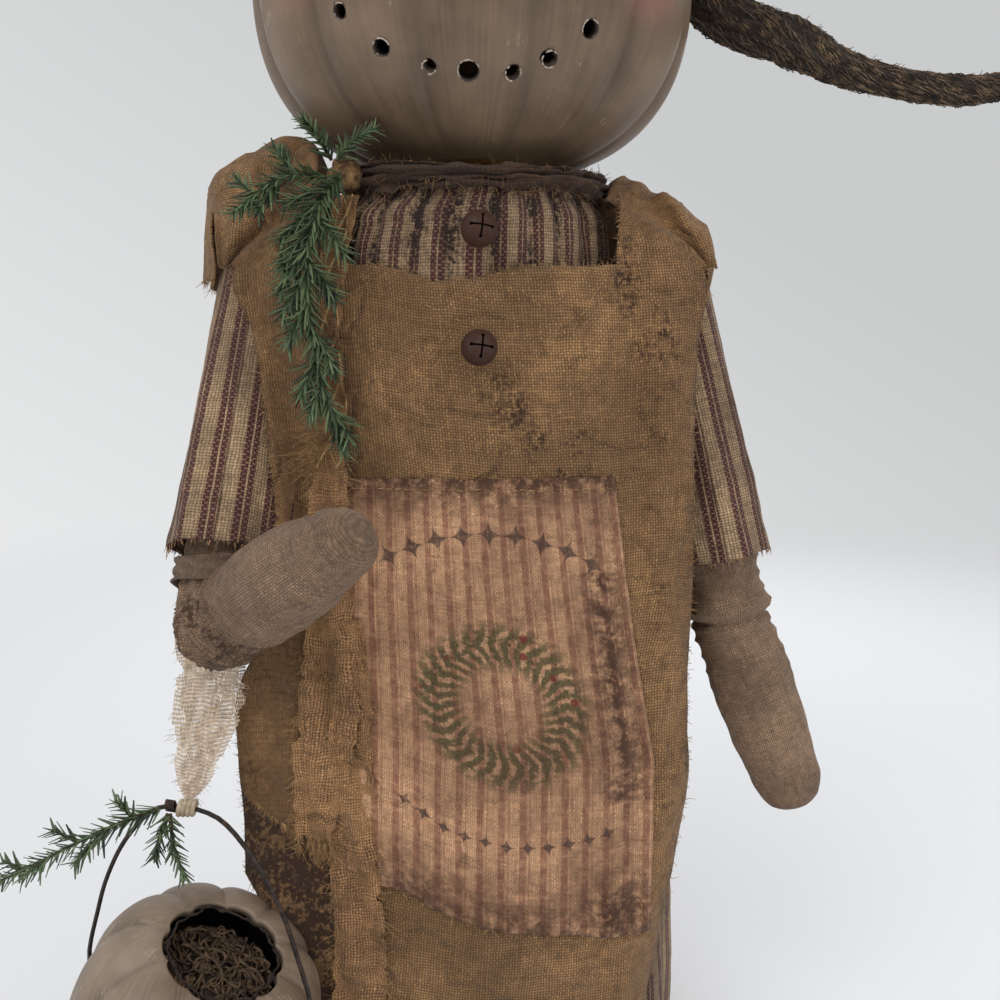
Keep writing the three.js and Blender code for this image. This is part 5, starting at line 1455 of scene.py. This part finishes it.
crown = cloth_grid("cap_dome", 160, 60, (0.62, 0.15), crown_rule, [wool], "head", ["cap_crown"],
                   closed=True, thick=2.4)
edge_height = head_ring(radians(crown_edge), 0, 0).z


def cuff_rule(u, v):
    turn = 2 * pi * v
    rib = 0.6 * cos(96 * 2 * pi * u)
    height = edge_height + 3.7 + 10.6 * sin(turn)
    latitude = asin(min(0.95, max(0.02, (height - head_centre.z) / 93)) ** (ribbed_square / 2))
    point = head_ring(latitude, u, 0)
    out = Vector((point.x, point.y, 0)).normalized()
    thick = 3.1 + rib * max(0.0, cos(turn))
    point.z = height
    point += out * (8.6 + thick * cos(turn) + 0.7 * ripple(*point, 12, 4.0))
    return point


cuff = cloth_grid("cap_roll", 384, 20, (0.66, 0.06), cuff_rule, [wool], "head", ["cap_cuff"],
                  closed=True, flip=True)
print("cap done")

# %% Cap tail
tail_shares = [(.36, .28, .93), (.7, .52, .93), (1.06, .6, .5), (1.14, .3, 0), (1.457, .06, -.26), (1.77, -.06, -.473),
               (2.143, -.1, -.56), (2.42, -.1, -.555), (2.7, -.1, -.5), (2.9, -.09, -.39)]
tail_points = [head_centre + Vector((105 * x, 100 * y, 93 * z)) for x, y, z in tail_shares]
tail_steps = 220
tail_line = curve_through(tail_points, tail_steps)
tail_lengths = [0.0]
for a, b in zip(tail_line, tail_line[1:]):
    tail_lengths.append(tail_lengths[-1] + (b - a).length)
tail_widths = [[index / 9, value] for index, value in enumerate([1, .85, .62, .52, .5, .47, .33, .29, .24, .12])]
frames = []
normal = None
for index, point in enumerate(tail_line):
    ahead = (tail_line[min(index + 1, tail_steps)] - tail_line[max(index - 1, 0)]).normalized()
    normal = ahead.orthogonal().normalized() if normal is None else (normal - ahead * normal.dot(ahead)).normalized()
    frames.append((point, ahead, normal.copy(), ahead.cross(normal)))


def tail_rule(u, v):
    index = min(tail_steps, round(v * tail_steps))
    point, ahead, first, second = frames[index]
    share = tail_lengths[index] / tail_lengths[-1]
    angle = 2 * pi * u
    radius = 23 * smooth(tail_widths, share)[0]
    round_x, round_y, run = cos(angle) * 60, sin(angle) * 60, tail_lengths[index]
    bark = 0.2 * (ripple(round_x, round_y, run * 0.9, 19, 3.0) + ripple(round_x, round_y, run * 0.55, 8, 6.0))
    bark += 0.05 * ripple(round_x * 1.5, round_y * 1.5, run, 4, 9.0)
    twist = 0.05 * sin(3 * angle + run / 16)
    end = clamp(min((1 - v) / 0.012, v / 0.034))
    radius *= (0.97 + bark + twist) * sqrt(end)
    return point + (first * cos(angle) + second * sin(angle)) * radius


tail = cloth_grid("cap_tail_skin", 56, tail_steps, (0.1, 0.4), tail_rule, [wool], "tail", ["cap_tail"],
                  closed=True, level=1)
tail_rng = random.Random(12)
tail_runs = []
for _ in range(2300):
    u, v = tail_rng.random(), 0.008 + 0.952 * tail_rng.random()
    drift, step_long = tail_rng.uniform(0.008, 0.03), tail_rng.uniform(0.004, 0.009)
    wide, lift = tail_rng.uniform(0.22, 0.5) * (1 - 0.4 * v), 2.4 if tail_rng.random() > 0.93 else 0.3
    points = []
    for step in range(5):
        place_v = min(0.985, v + step * step_long)
        point = tail_rule(u + step * drift, place_v)
        out = (point - frames[round(place_v * tail_steps)][0]).normalized()
        points.append(point + out * (0.15 + (lift if step == 4 else 0.2 * tail_rng.random())))
    tail_runs.append((points, [wide * 0.6, wide, wide, wide * 0.8, wide * 0.3]))
strands("cap_tail_fibres", tail_runs, [tail_fibre], "tail")
print("tail", len(tail.data.polygons))

# %% [markdown]
# ## Jingle bells
# Two rusty bells are sewn on as buttons. Each is a thin ball with crossed slots whose ends open into round holes, and
# a wire loop behind it takes the thread.

# %% Jingle bells
def jingle_bell(name, loop_centre, centre, body):
    shape = bmesh.new()
    bmesh.ops.create_uvsphere(shape, u_segments=48, v_segments=32, radius=8.05 * mm)
    ball = add_object(name, mesh_from(shape, name))
    away = (centre - loop_centre).normalized()
    turn = (away + Vector((0.2, 0, 0.34))).to_track_quat("-Y", "Z").to_matrix().to_4x4()
    place = Matrix.Translation(centre * mm) @ turn @ Matrix.Rotation(radians(8), 4, "Y")
    solid = ball.modifiers.new("wall", "SOLIDIFY")
    solid.thickness, solid.offset, solid.material_offset = 0.7 * mm, -1, 1
    shape = bmesh.new()
    for across, tall in ((0.8, 9.0), (9.0, 0.8)):
        made = bmesh.ops.create_cube(shape, size=1)["verts"]
        bmesh.ops.scale(shape, verts=made, vec=(across * mm, 8 * mm, tall * mm))
        bmesh.ops.translate(shape, verts=made, vec=(0, -7 * mm, 0))
    for x, z in ((0, 4.6), (0, -4.6), (4.6, 0), (-4.6, 0)):
        spot = Matrix.Translation((x * mm, -6.5 * mm, z * mm)) @ Matrix.Rotation(pi / 2, 4, "X")
        bmesh.ops.create_cone(shape, cap_ends=True, segments=16, radius1=0.75 * mm, radius2=0.75 * mm, depth=9 * mm,
                              matrix=spot)
    cutter = add_object(name + "_cutter", mesh_from(shape, name + "_cutter"))
    cut = ball.modifiers.new("slots", "BOOLEAN")
    cut.operation, cut.object, cut.solver, cut.use_self = "DIFFERENCE", cutter, "EXACT", True
    made = baked(ball)
    bpy.data.objects.remove(ball)
    bpy.data.objects.remove(cutter)
    shape = bmesh.new()
    shape.from_mesh(made)
    bmesh.ops.transform(shape, matrix=place, verts=shape.verts)
    shape.to_mesh(made)
    shape.free()
    made.name = name
    piece = finish_piece(name, made, [rust, hollow], body)
    loop = [loop_centre + Vector((0, cos(turn), sin(turn))) * 1.8 for turn in [pi * k / 6 for k in range(13)]]
    strands(name + "_loop", [(loop, 0.7)], [rust], body, sides=8)
    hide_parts(name.replace("_shell", ""))


bells = [(side, Vector((4, y, z))) for side, y, z in (("upper", -60.746, 437.986), ("lower", -65.618, 387.142))]
for side, loop_centre in bells:
    jingle_bell(f"{side}_bell_shell", loop_centre, loop_centre + Vector((0, -9.541, -2.028)), f"bell_{side}")
stitch_points = ((-5.4, 3.4, 1), (-2.6, 1.4, 1), (0, 0.7, 1), (2.6, 1.4, 1), (5.4, 3.4, -1))
for side, loop_centre in bells:
    runs = []
    for lift in (-0.35, 0.35):
        arch = [loop_centre + Vector((dx, dy, lift * way)) for dx, dy, way in stitch_points]
        runs.append((curve_through(arch, 16), 0.34))
    strands(f"{side}_bell_stitch", runs, [dark_thread], "torso", [f"{side}_bell_thread"], 6)
print("bells done")

# %% [markdown]
# ## Pail
# The pail is a small craft pumpkin with a ragged opening in its top, two eye holes and a nest of wood shavings. Its
# opening is broken out rather than drilled, so faces are dropped along a wandering line before the wall is added.

# %% Pail shell
pail_centre = Vector((-124.22, -98.892, 88.614))
pail_axis = Vector((.42, -.2, .88)).normalized()
pail_turn = Vector((0, 0, 1)).rotation_difference(pail_axis)
pail_half = (54, 54, 44)
pail_paint = pumpkin_finish("pail_paint", pail_centre, rgba(163, 143, 124), rgba(104, 87, 70), scuffs=1.6)


def at_pail(point):
    moved = point.copy()
    moved.rotate(pail_turn)
    return moved + pail_centre


opening_radius = 24.5


def ragged(point):
    """How far the broken edge wanders outwards at a place."""
    return 2.1 * ripple(*point, 9, 3.0) + 1.2 * ripple(*point, 3.4, 8.0)


def pail_keep(point):
    offset = point - pail_centre
    up = offset.dot(pail_axis)
    return up < 0 or (offset - pail_axis * up).length > opening_radius + ragged(point)


def sunk_top(away):
    """How far the top is sunk at a distance from the pail's axis."""
    return 5.0 * hill((away - 20) / 12)


def pail_dent(point):
    return point - Vector((0, 0, sunk_top(hypot(point.x, point.y)) if point.z > 0 else 0))


pail_data = ribbed_shell("pail_ribbed_shell", pail_half, 10, 2.6, 17, -74, 66, 250, 130, at_pail, pail_keep, pail_dent)
pail = finish_piece("painted_pail", pail_data, [pail_paint, hollow], "pail", ["pail_shell"])
pail_drills = []
eye_up = .57
for turn in (-33, 27):
    level = sqrt(1 - eye_up**2)
    direction = Vector((level * sin(radians(turn)), -level * cos(radians(turn)), eye_up))
    spot = Vector((53 * direction.x, 53 * direction.y, 43 * eye_up ** (2 / ribbed_square)))
    direction.rotate(pail_turn)
    pail_drills.append((at_pail(spot * 0.985), direction, 4.2))
ear_line = Vector((.94552, -.32557, 0))
ear_centre = pail_centre + Vector((0, 0, 8))
for sign in (-1, 1):
    pail_drills.append((ear_centre + ear_line * sign * 52.5, ear_line * sign, 1.7))
cut_holes(pail, pail_drills, 4.2, 1)
rim_rng = random.Random(31)
rim_runs = []
rim_away, rim_pieces = 24.3, 120
rim_up = pail_half[2] * max(0.0, 1 - (rim_away / pail_half[0]) ** ribbed_square) ** (1 / ribbed_square)
rim_up -= sunk_top(rim_away) + 1.2
for index in range(rim_pieces):
    ring = []
    for step in range(4):
        angle = 2 * pi * index / rim_pieces + step * 0.02
        spot = at_pail(Vector((rim_away * cos(angle), rim_away * sin(angle), rim_up)))
        flat = (spot - pail_centre) - pail_axis * (spot - pail_centre).dot(pail_axis)
        ring.append(spot + flat.normalized() * ragged(spot))
    rim_runs.append((ring, [0.5, rim_rng.uniform(0.5, 0.9), rim_rng.uniform(0.5, 0.9), 0.5]))
strands("pail_dark_rim", rim_runs, [dark_thread], "pail")
print("pail", len(pail.data.polygons))

# %% Nest of wood shavings
straw = thread_finish("excelsior", rgba(116, 92, 67), rgba(40, 28, 19), 260.0, 0.7)
# The heap's finish is painted shade: a dark sheet for the shade deep in the nest.
straw_shade = thread_finish("excelsior_painted_shade", rgba(58, 43, 31), rgba(24, 16, 10), 300.0)


def nest_outline(u, v):
    turn = pi * (v - 0.5)
    level = cos(turn) if 0 < v < 1 else 0.0
    radius, high = (45.0, 24) if turn > 0 else (45.5, 32)
    radius *= level ** 0.8
    point = Vector((cos(2 * pi * u) * radius, sin(2 * pi * u) * radius, high * sin(turn) - 3))
    point *= 1 + 0.05 * ripple(*point, 9, 2.0) + 0.03 * ripple(*point, 3, 7.0) - 0.03
    return at_pail(point)


# The heap is a dark shell under the shavings, as painted shade deep in the nest.
nest = cloth_grid("shavings_heap", 90, 60, (0.2, 0.1), nest_outline, [straw_shade], "pail", ["pail_moss"],
                  closed=True)
nest_radius = 27
straw_rng = random.Random(44)
straw_runs = []
for _ in range(250):
    a, away = straw_rng.uniform(0, 2 * pi), nest_radius * sqrt(straw_rng.random())
    spot = Vector((cos(a) * away, sin(a) * away, 22 - away * 0.12 + straw_rng.uniform(-2, 3)))
    heading = straw_rng.uniform(0, 2 * pi)
    bend = straw_rng.uniform(-0.5, 0.5)
    points = []
    for step in range(12):
        heading += bend + straw_rng.uniform(-0.25, 0.25)
        spot = spot + Vector((cos(heading), sin(heading), 0.35 * sin(step * 0.9 + a))) * 2.0
        away = hypot(spot.x, spot.y)
        if away > nest_radius:
            heading += 1.4
            spot = Vector((spot.x * nest_radius / away, spot.y * nest_radius / away, spot.z))
        points.append(at_pail(spot))
    straw_runs.append((points, straw_rng.uniform(0.4, 0.95)))
strands("wood_shavings", straw_runs, [straw], "pail")
print("nest", len(straw_runs))

# %% [markdown]
# ## Gauze hanger
# The pail hangs by a strip of sheer gauze: it goes round the arm under the sleeve, is knotted and then falls open.
# The weave's own gaps are its holes, so the finish gives them an alpha of zero.

# %% Gauze wrap and strip
hanger_knot, bail_top = Vector((-128.394, -44.79, 272.614)), Vector((-124.22, -98.892, 184.614))
upper_way = right_way.normalized()


def wrap_rule(u, v):
    first, second = beside(upper_way)
    angle = 2 * pi * u
    along = 182 * .88 + (v - 0.5) * (12 + 2 * sin(angle * 2))
    radius = 22.6 + 0.7 * sin(v * 13 + angle * 2 + 2 * sin(3 * angle))
    radius += 0.5 * cos(5 * angle) + 0.8 * ripple(angle * 22, v * 14, 0, 8)
    return right_pivot + upper_way * along + first * cos(angle) * radius + second * sin(angle) * radius


wrap = cloth_grid("gauze_wrap", 96, 20, (0.145, 0.03), wrap_rule, [wrap_cloth], "right_arm", ["hanger_wrap"],
                  closed=True, thick=1.0)


def knot_piece(name, centre, radius, material, body, seed):
    """A small knot: three loops of rolled cloth round each other."""
    rng = random.Random(seed)
    runs = []
    for loop in range(3):
        tilt = Matrix.Rotation(rng.uniform(0, 6), 3, "X") @ Matrix.Rotation(rng.uniform(0, 6), 3, "Y")
        turns = [2 * pi * step / 24 for step in range(25)]
        points = [tilt @ Vector((cos(turn), sin(turn), 0.25 * sin(2 * turn))) * radius * 0.52 for turn in turns]
        radii = [radius * (0.4 + 0.07 * sin(5 * turn + loop)) for turn in turns]
        runs.append(([centre + point for point in points], radii))
    strands(name, runs, [material], body, sides=10)


knot_piece("gauze_knot", hanger_knot, 4.4, gauze_thread, "hanger", 5)
strip_steps = 90
strip_line = curve_through([hanger_knot + Vector((1, 6, 3)), hanger_knot, hanger_knot + Vector((1, -1, -24)),
                            Vector((-125, -56, 226)), Vector((-123.6, -82, 203)), bail_top], strip_steps)


def strip_rule(side, seed):
    """One layer of the strip; side says how far and which way it stands off the middle."""
    def rule(u, v):
        index = min(strip_steps, round((1 - v) * strip_steps))
        share = index / strip_steps
        opened = sin(pi * clamp((share - 0.03) / 0.93)) ** 0.7
        half = 1.6 + 13.5 * opened + 2.0 * ripple(share * 60, seed, 0, 9, seed)
        across = (2 * u - 1) * half
        wave = 2.2 * opened * sin(across / 4.2 + seed + share * 5) + 1.2 * ripple(across, share * 100, seed, 9, seed)
        droop = 1.6 * ripple(across, share * 90, 0, 8, seed)
        return strip_line[index] + Vector((across + side * 3.2 * opened, wave + side * 1.5, droop))
    return rule


def gauze_keep(seed):
    def keep(u, v):
        hole = ripple(u * 26, v * 95, seed, 7.5, seed)
        rim = abs(2 * u - 1) + 0.45 * ripple(u * 6, v * 110, 0, 6, seed + 3)
        return hole > -0.75 and rim < 1.12
    return keep


def both_sides(rule, low_u, high_u, low_v, high_v, drop, picker):
    """Thread roots along both long edges of a strip, the side picked by the digits of t."""
    def edge(t):
        near = int(t * picker) % 2
        return rule(low_u if near else high_u, t * (high_v - low_v) + low_v), (-1 if near else 1, drop, -0.2)
    return edge


for index, (side, seed) in enumerate(((-0.6, 2.0), (0.7, 6.0))):
    rule = strip_rule(side, seed)
    piece = cloth_grid(f"gauze_strip_{index}", 34, strip_steps, (0.046, 0.104), rule, [gauze_cloth], "hanger",
                       [] if index else ["hanger_strip"], keep=gauze_keep(seed))
    round(area_of(piece), 5)
    fray(f"gauze_fray_{index}", both_sides(rule, 0.02, 0.98, 0.01, 0.99, -0.2, 997), gauze_thread, "hanger",
         61 + index, 90, 3.6, 0.6, 0.1, 0.6)
ring_runs = []
for turn in range(4):
    points = []
    for angle in [2 * pi * step / 16 for step in range(17)]:
        shift = Vector((-3.2 + turn * 2.0 + 0.6 * sin(angle), cos(angle) * 2.7, sin(angle) * 2.9 + 0.4))
        points.append(bail_top + shift)
    ring_runs.append((points, 1.15))
strands("gauze_tie", ring_runs, [gauze_thread], "hanger", sides=8)
print("gauze done")

# %% [markdown]
# ## Neck tie and its long tail
# A torn strip of cheesecloth is bound round the gathers and knotted at the right. One end of it hangs down the whole
# front: first twisted like a cord, and then open as two thin ragged layers.

# %% Neck tie
knot_place = Vector((-56.699, -46.206, 462.7))


def tie_rule(layer):
    def rule(u, v):
        angle = pi / 2 + 2 * pi * u
        ragged = 3.4 * ripple(angle * 50, layer, 0, 15, layer + 1.0) + 2.2 * ripple(angle * 50, layer, 3, 4, layer)
        low = 455.2 + layer * 4.4 + (2.2 * sin(2 * angle + 0.6) if layer else 0.0)
        height = low + v * (9.6 - layer * 3.4) + ragged * (0.7 if v > 0.5 else -1.0) * abs(2 * v - 1)
        pleat = 0.9 * sin(11 * angle + v * 5 + layer * 2) + 0.8 * ripple(angle * 60, height, layer, 8, 2.0)
        roll = v * 10 + 3 * sin(2 * angle) + 2 * ripple(angle * 40, layer, 0, 9) + layer
        bulge = 2.0 * sin(pi * v) + 1.9 * sin(roll)
        return oval_point(height, angle, (60.2 + layer * 1.6, 59.2 + layer * 1.6, 0), bulge + pleat + 0.4)
    return rule


for layer in (0, 1):
    rule = tie_rule(layer)
    # The band's darkened finish is painted shade under the head.
    piece = cloth_grid(f"tie_band_{layer}", 240, 18, (0.38, 0.018), rule, [shaded_tie_cloth], "torso",
                       [] if layer else ["neck_tie"], closed=True, thick=0.7,
                       soil_and_shade_rule=lambda u, v: 0.75 * abs(2 * v - 1) ** 3)

    def band_edge(t):
        """Two threads of three leave the lower edge, and the third one the upper edge."""
        low = int(t * 991) % 3
        return rule(t, 0.0 if low else 1.0), (0.1, -0.5, -0.6 if low else 0.5)

    fray(f"tie_fray_{layer}", band_edge, tie_thread, "torso", 71 + layer, 330, 5.0, 0.9, 0.15, 0.9)
knot_piece("tie_knot", knot_place, 9, tie_thread, "torso", 9)

# %% Tie tail
tail_top = 453.4
tie_layers = [
    (tail_top, 150, [[0, -57, 5.4], [.1, -60.5, 6], [.24, -62, 5], [.34, -62, 5.2], [.42, -65, 8.8], [.5, -66, 10],
                     [.6, -66, 11.5], [.7, -66, 14.5], [.8, -67, 15.5], [.9, -70, 12.5], [1, -74, 7]]),
    (262, 42, [[0, -58, 8], [.2, -58, 10], [.4, -56, 10.5], [.55, -55, 11.5], [.7, -54, 12], [.85, -53, 12.5],
               [1, -52, 10]])]


def tie_tail_rule(layer):
    """A layer of the tail: rolled like a cord where it is narrow, and with open folds where it is wide."""
    top_height, low_height, rows = tie_layers[layer]

    def rule(u, v):
        down = 1 - v
        height = top_height + (low_height - top_height) * down
        middle, half = smooth(rows, down)
        across = (2 * u - 1) * half
        tatter = 2.4 * ripple(height * 1.1, u, layer, 9, layer + 3.0) + 1.0 * ripple(height, u, layer, 3.5, 1.0)
        across += tatter * (1 if abs(2 * u - 1) > 0.6 else 0.3) * min(1.0, half / 9)
        x = middle + across + 1.3 * sin(height / 17 + layer)
        opened = clamp((half - 4) / 6)
        roll = (1 - opened) * 2.4 * sin(pi * u * 2 + height / 3.6)
        folds = 2.0 * sin(across / 3.1 + height / 13 + layer) * opened + 1.3 * ripple(x, height, layer, 9, 6.0)
        folds += 2.2 * opened * hill((height - (205 if layer else 232)) / 9) * sin(across / 2.2)
        front = tunic_front(x, min(height, front_top)) - 3.6 - (1 - layer) * 1.8 - 0.8 * folds - roll
        fall = ease(clamp((tail_top - height) / 36))
        y = (knot_place.y - 3.5) * (1 - fall) + front * fall
        return Vector((x, y, height + 1.8 * ripple(across, height, 2, 7, 8.0) * opened))
    return rule


def tie_tail_keep(layer):
    top_height, low_height, rows = tie_layers[layer]

    def keep(u, v):
        height = low_height + (top_height - low_height) * v
        rim = abs(2 * u - 1) + 0.42 * ripple(u * 4, height, layer, 5, 3.0 + layer)
        hole = ripple(u * 20, height * 0.9, layer, 5.5, 5.0)
        end = v > 0.01 + 0.03 * (0.5 + 0.5 * ripple(u * 40, layer, 0, 6, 1.0))
        return end and (height > 345 or (rim < 1.08 and hole > -0.9))
    return keep


for layer, long, wide, rows, frayed in ((0, 0.31, 0.026, 270, 0.62), (1, 0.228, 0.024, 200, 0.97)):
    rule = tie_tail_rule(layer)
    piece = cloth_grid(f"tie_tail_{layer}", 26, rows, (wide, long), rule, [cheese], "torso",
                       [] if layer else ["tie_tail"], keep=tie_tail_keep(layer), thick=0.5)
    round(area_of(piece), 5)
    fray(f"tie_tail_fray_{layer}", both_sides(rule, 0.03, 0.97, 0, frayed, -0.35, 991), tan_thread, "torso",
         81 + layer, 360, 5.4, 0.8, 0.13, 0.8)
    fray(f"tie_tail_end_{layer}", lambda t: (rule(t, 0.03), (0, -0.1, -1)), tan_thread, "torso",
         91 + layer, 80, 11.0, 0.45, 0.14, 0.4)
tangle = tie_tail_rule(0)
cord_runs = []
for strand in range(3):
    points = []
    for step in range(60):
        v = 1 - 0.4 * step / 59
        turn = step * 0.23 + strand * 2.1
        middle = tangle(0.5, v) + Vector((0, -1.2, 0))
        points.append(middle + Vector((cos(turn) * (2.6 + 0.05 * step), -1.1 - sin(turn) * 1.6, 0)))
    cord_runs.append((points, 0.55 - 0.03 * strand))
strands("tie_tail_cord", cord_runs, [tan_thread], "torso")
fray("tie_tail_tangle", lambda t: (tangle(0.1, 0.6 + 0.07 * t), (-1, -0.3, 0.4 - t)), tan_thread, "torso",
     97, 110, 15.0, 1.2, 0.13, 1.0)
print("tie done")

# %% [markdown]
# ## Greenery
# The sprigs are artificial pine: a wired stem with side twigs, and flat needles that leave it at about 40 degrees.
# Each needle is a small cone of few faces, because there are some hundreds of them.

# %% Sprigs
def needle_finish(name, light, dark):
    finish, tree = new_finish(name)
    tint = tree.attribute("tint")
    share = tree.times_plus(tree.noise(tree.place(), 320.0, 3.0), 0.5, tree.times(tint, 0.6))
    color = tree.blend(tree.spread(share, 0.25, 0.85), dark, light)
    tree.surface(color, tree.spread(tint, 0.0, 1.0, 0.4, 0.6))
    return finish


pine_green = needle_finish("greenery", rgba(112, 132, 92), rgba(24, 42, 28))
stem_brown = thread_finish("sprig_stem", rgba(86, 70, 48), rgba(48, 38, 26))


def sprig_piece(name, twigs, body, replaces, seed, needle=13.5, thick=0.95, gap_along=0.46):
    """twigs: lists of points in millimetres; needles spiral round each one."""
    rng = random.Random(seed)
    shape = bmesh.new()
    tint = shape.verts.layers.float.new("tint")
    stems = []
    for points in twigs:
        steps = 40
        line = curve_through(points, steps)
        stems.append((line, [0.9 - 0.5 * index / steps for index in range(steps + 1)]))
        length = sum((b - a).length for a, b in zip(line, line[1:]))
        many = int(length / gap_along)
        for index in range(many):
            share = min(0.999, (index + rng.random()) / many)
            spot = share * steps
            low = min(steps - 1, int(spot))
            point = line[low].lerp(line[low + 1], spot - low)
            ahead = (line[low + 1] - line[low]).normalized()
            side = ahead.orthogonal().normalized()
            side = Matrix.Rotation(index * 2.4 + rng.uniform(-0.3, 0.3), 3, ahead) @ side
            lean = rng.uniform(0.55, 0.95)
            way = (ahead * cos(lean) + side * sin(lean)).normalized()
            reach = needle * rng.uniform(0.65, 1.05) * (1 - 0.35 * share)
            turn = way.to_track_quat("Z", "Y").to_matrix().to_4x4()
            matrix = Matrix.Translation((point + way * reach * 0.5) * mm) @ turn @ Matrix.Diagonal((1, 0.5, 1, 1))
            made = bmesh.ops.create_cone(shape, cap_ends=False, segments=4, radius1=thick * mm, radius2=0.3 * mm,
                                         depth=reach * mm, matrix=matrix)["verts"]
            bend = side.cross(way) * rng.uniform(-1.2, 1.2)
            shade = rng.random()
            for vert in made:
                vert[tint] = shade
                if (vert.co / mm - point).length > reach * 0.6:
                    vert.co += (bend + Vector((0, 0, -0.8))) * mm
    finish_piece(name, mesh_from(shape, name), [pine_green], body, replaces)
    strands(name + "_stems", stems, [stem_brown], body, sides=6)


def path_from(centre, unit, shares):
    return [centre + Vector(share) * unit for share in shares]


def with_twigs(line, twigs):
    """The line and its side twigs, given as (share along the line, length, direction, droop of the tip)."""
    made = [line]
    for share, reach, way, droop in twigs:
        base, way = curve_through(line, 50)[round(share * 50)], Vector(way)
        made.append([base, base + way * reach * 0.5, base + way * reach + Vector((0, 0, -droop))])
    return made


knot_unit, bead_unit = 9, 3.2
main_line = path_from(knot_place, knot_unit, [(-.1, -1.12, -.1), (-1, -2.6, -2), (-1.5, -3.3, -5), (-1.1, -3.4, -9),
                                              (.1, -3.4, -13.6)])
side_line = path_from(knot_place, knot_unit, [(-1.02, -.35, -.1), (-3, -1.6, -.4), (-5.2, -2.4, -2.2)])
crown_line = path_from(knot_place, knot_unit, [(-.62, -.6, .62), (-1.2, -1.4, 1.6), (-1.8, -1.9, 2.3)])
crown_side_line = path_from(knot_place, knot_unit, [(-.3, -.9, .5), (.6, -1.6, 1.3), (1.7, -1.7, 1.9)])
main_twigs = [(share, reach, Vector((sideways, -0.25, drop)).normalized(), 2) for share, reach, sideways, drop in (
    (.12, 20, -1, -.3), (.2, 24, -1, -.9), (.27, 20, .9, -1.1), (.33, 22, -1, -1.2), (.4, 22, -.9, -1.3),
    (.46, 20, 1, -1.2), (.53, 18, -.8, -1.1), (.6, 18, -.8, -1.4), (.68, 18, .9, -1.3), (.75, 16, -.7, -1.3),
    (.82, 14, -.7, -1.5), (.88, 16, .8, -1.1))]
side_twigs = [(.35, 14, (-.5, -.2, .8), 0), (.5, 16, (-.6, -.3, -.9), 0), (.75, 11, (-.7, 0, .5), 0)]
sprig_piece("neck_sprig_long", with_twigs(main_line, main_twigs), "torso", ["neck_sprig"], 101)
sprig_piece("neck_sprig_branch", with_twigs(side_line, side_twigs), "torso", ["neck_sprig_side"], 102, 11)
sprig_piece("neck_sprig_top", [crown_line, crown_side_line], "torso", ["neck_sprig_crown"], 103, 10)
bead_place = Vector((-132.446, -96.06, 184.614))
pail_line = path_from(bead_place, bead_unit, [(-1.1, -.62, .1), (-8, -4.5, -1.5), (-17, -5, -6), (-25.5, -4, -10.5)])
short_line = path_from(bead_place, bead_unit, [(.1, -.85, -.8), (1.5, -4, -4), (3.4, -5.6, -7.6)])
stub_line = path_from(bead_place, bead_unit, [(-.2, -.9, -.7), (-.8, -3, -3.2), (-1.2, -4, -5.6)])
pail_twigs = [(.15, 12, (-.5, -.3, .8), 0), (.3, 18, (-.7, -.3, -.7), 0), (.45, 13, (-.8, -.2, .5), 0),
              (.6, 14, (-.7, -.2, -.5), 0), (.72, 10, (-.9, 0, .4), 0)]
sprig_piece("pail_sprig_long", with_twigs(pail_line, pail_twigs), "bail", ["pail_sprig"], 104, 10.5, 0.85, 0.62)
sprig_piece("pail_sprig_stub", [short_line, stub_line], "bail", ["pail_sprig_short"], 105, 9, 0.85, 0.62)
wind = []
for step in range(73):
    angle = 2 * pi * step / 12
    wind.append(bead_place + ear_line * (-2.4 + 4.8 * step / 72) + Vector((0, cos(angle) * 1.9, sin(angle) * 2.2)))
strands("sprig_winding", [(wind, 0.55)], [wire_metal], "bail", ["sprig_tie"], 6)
print("greenery done")
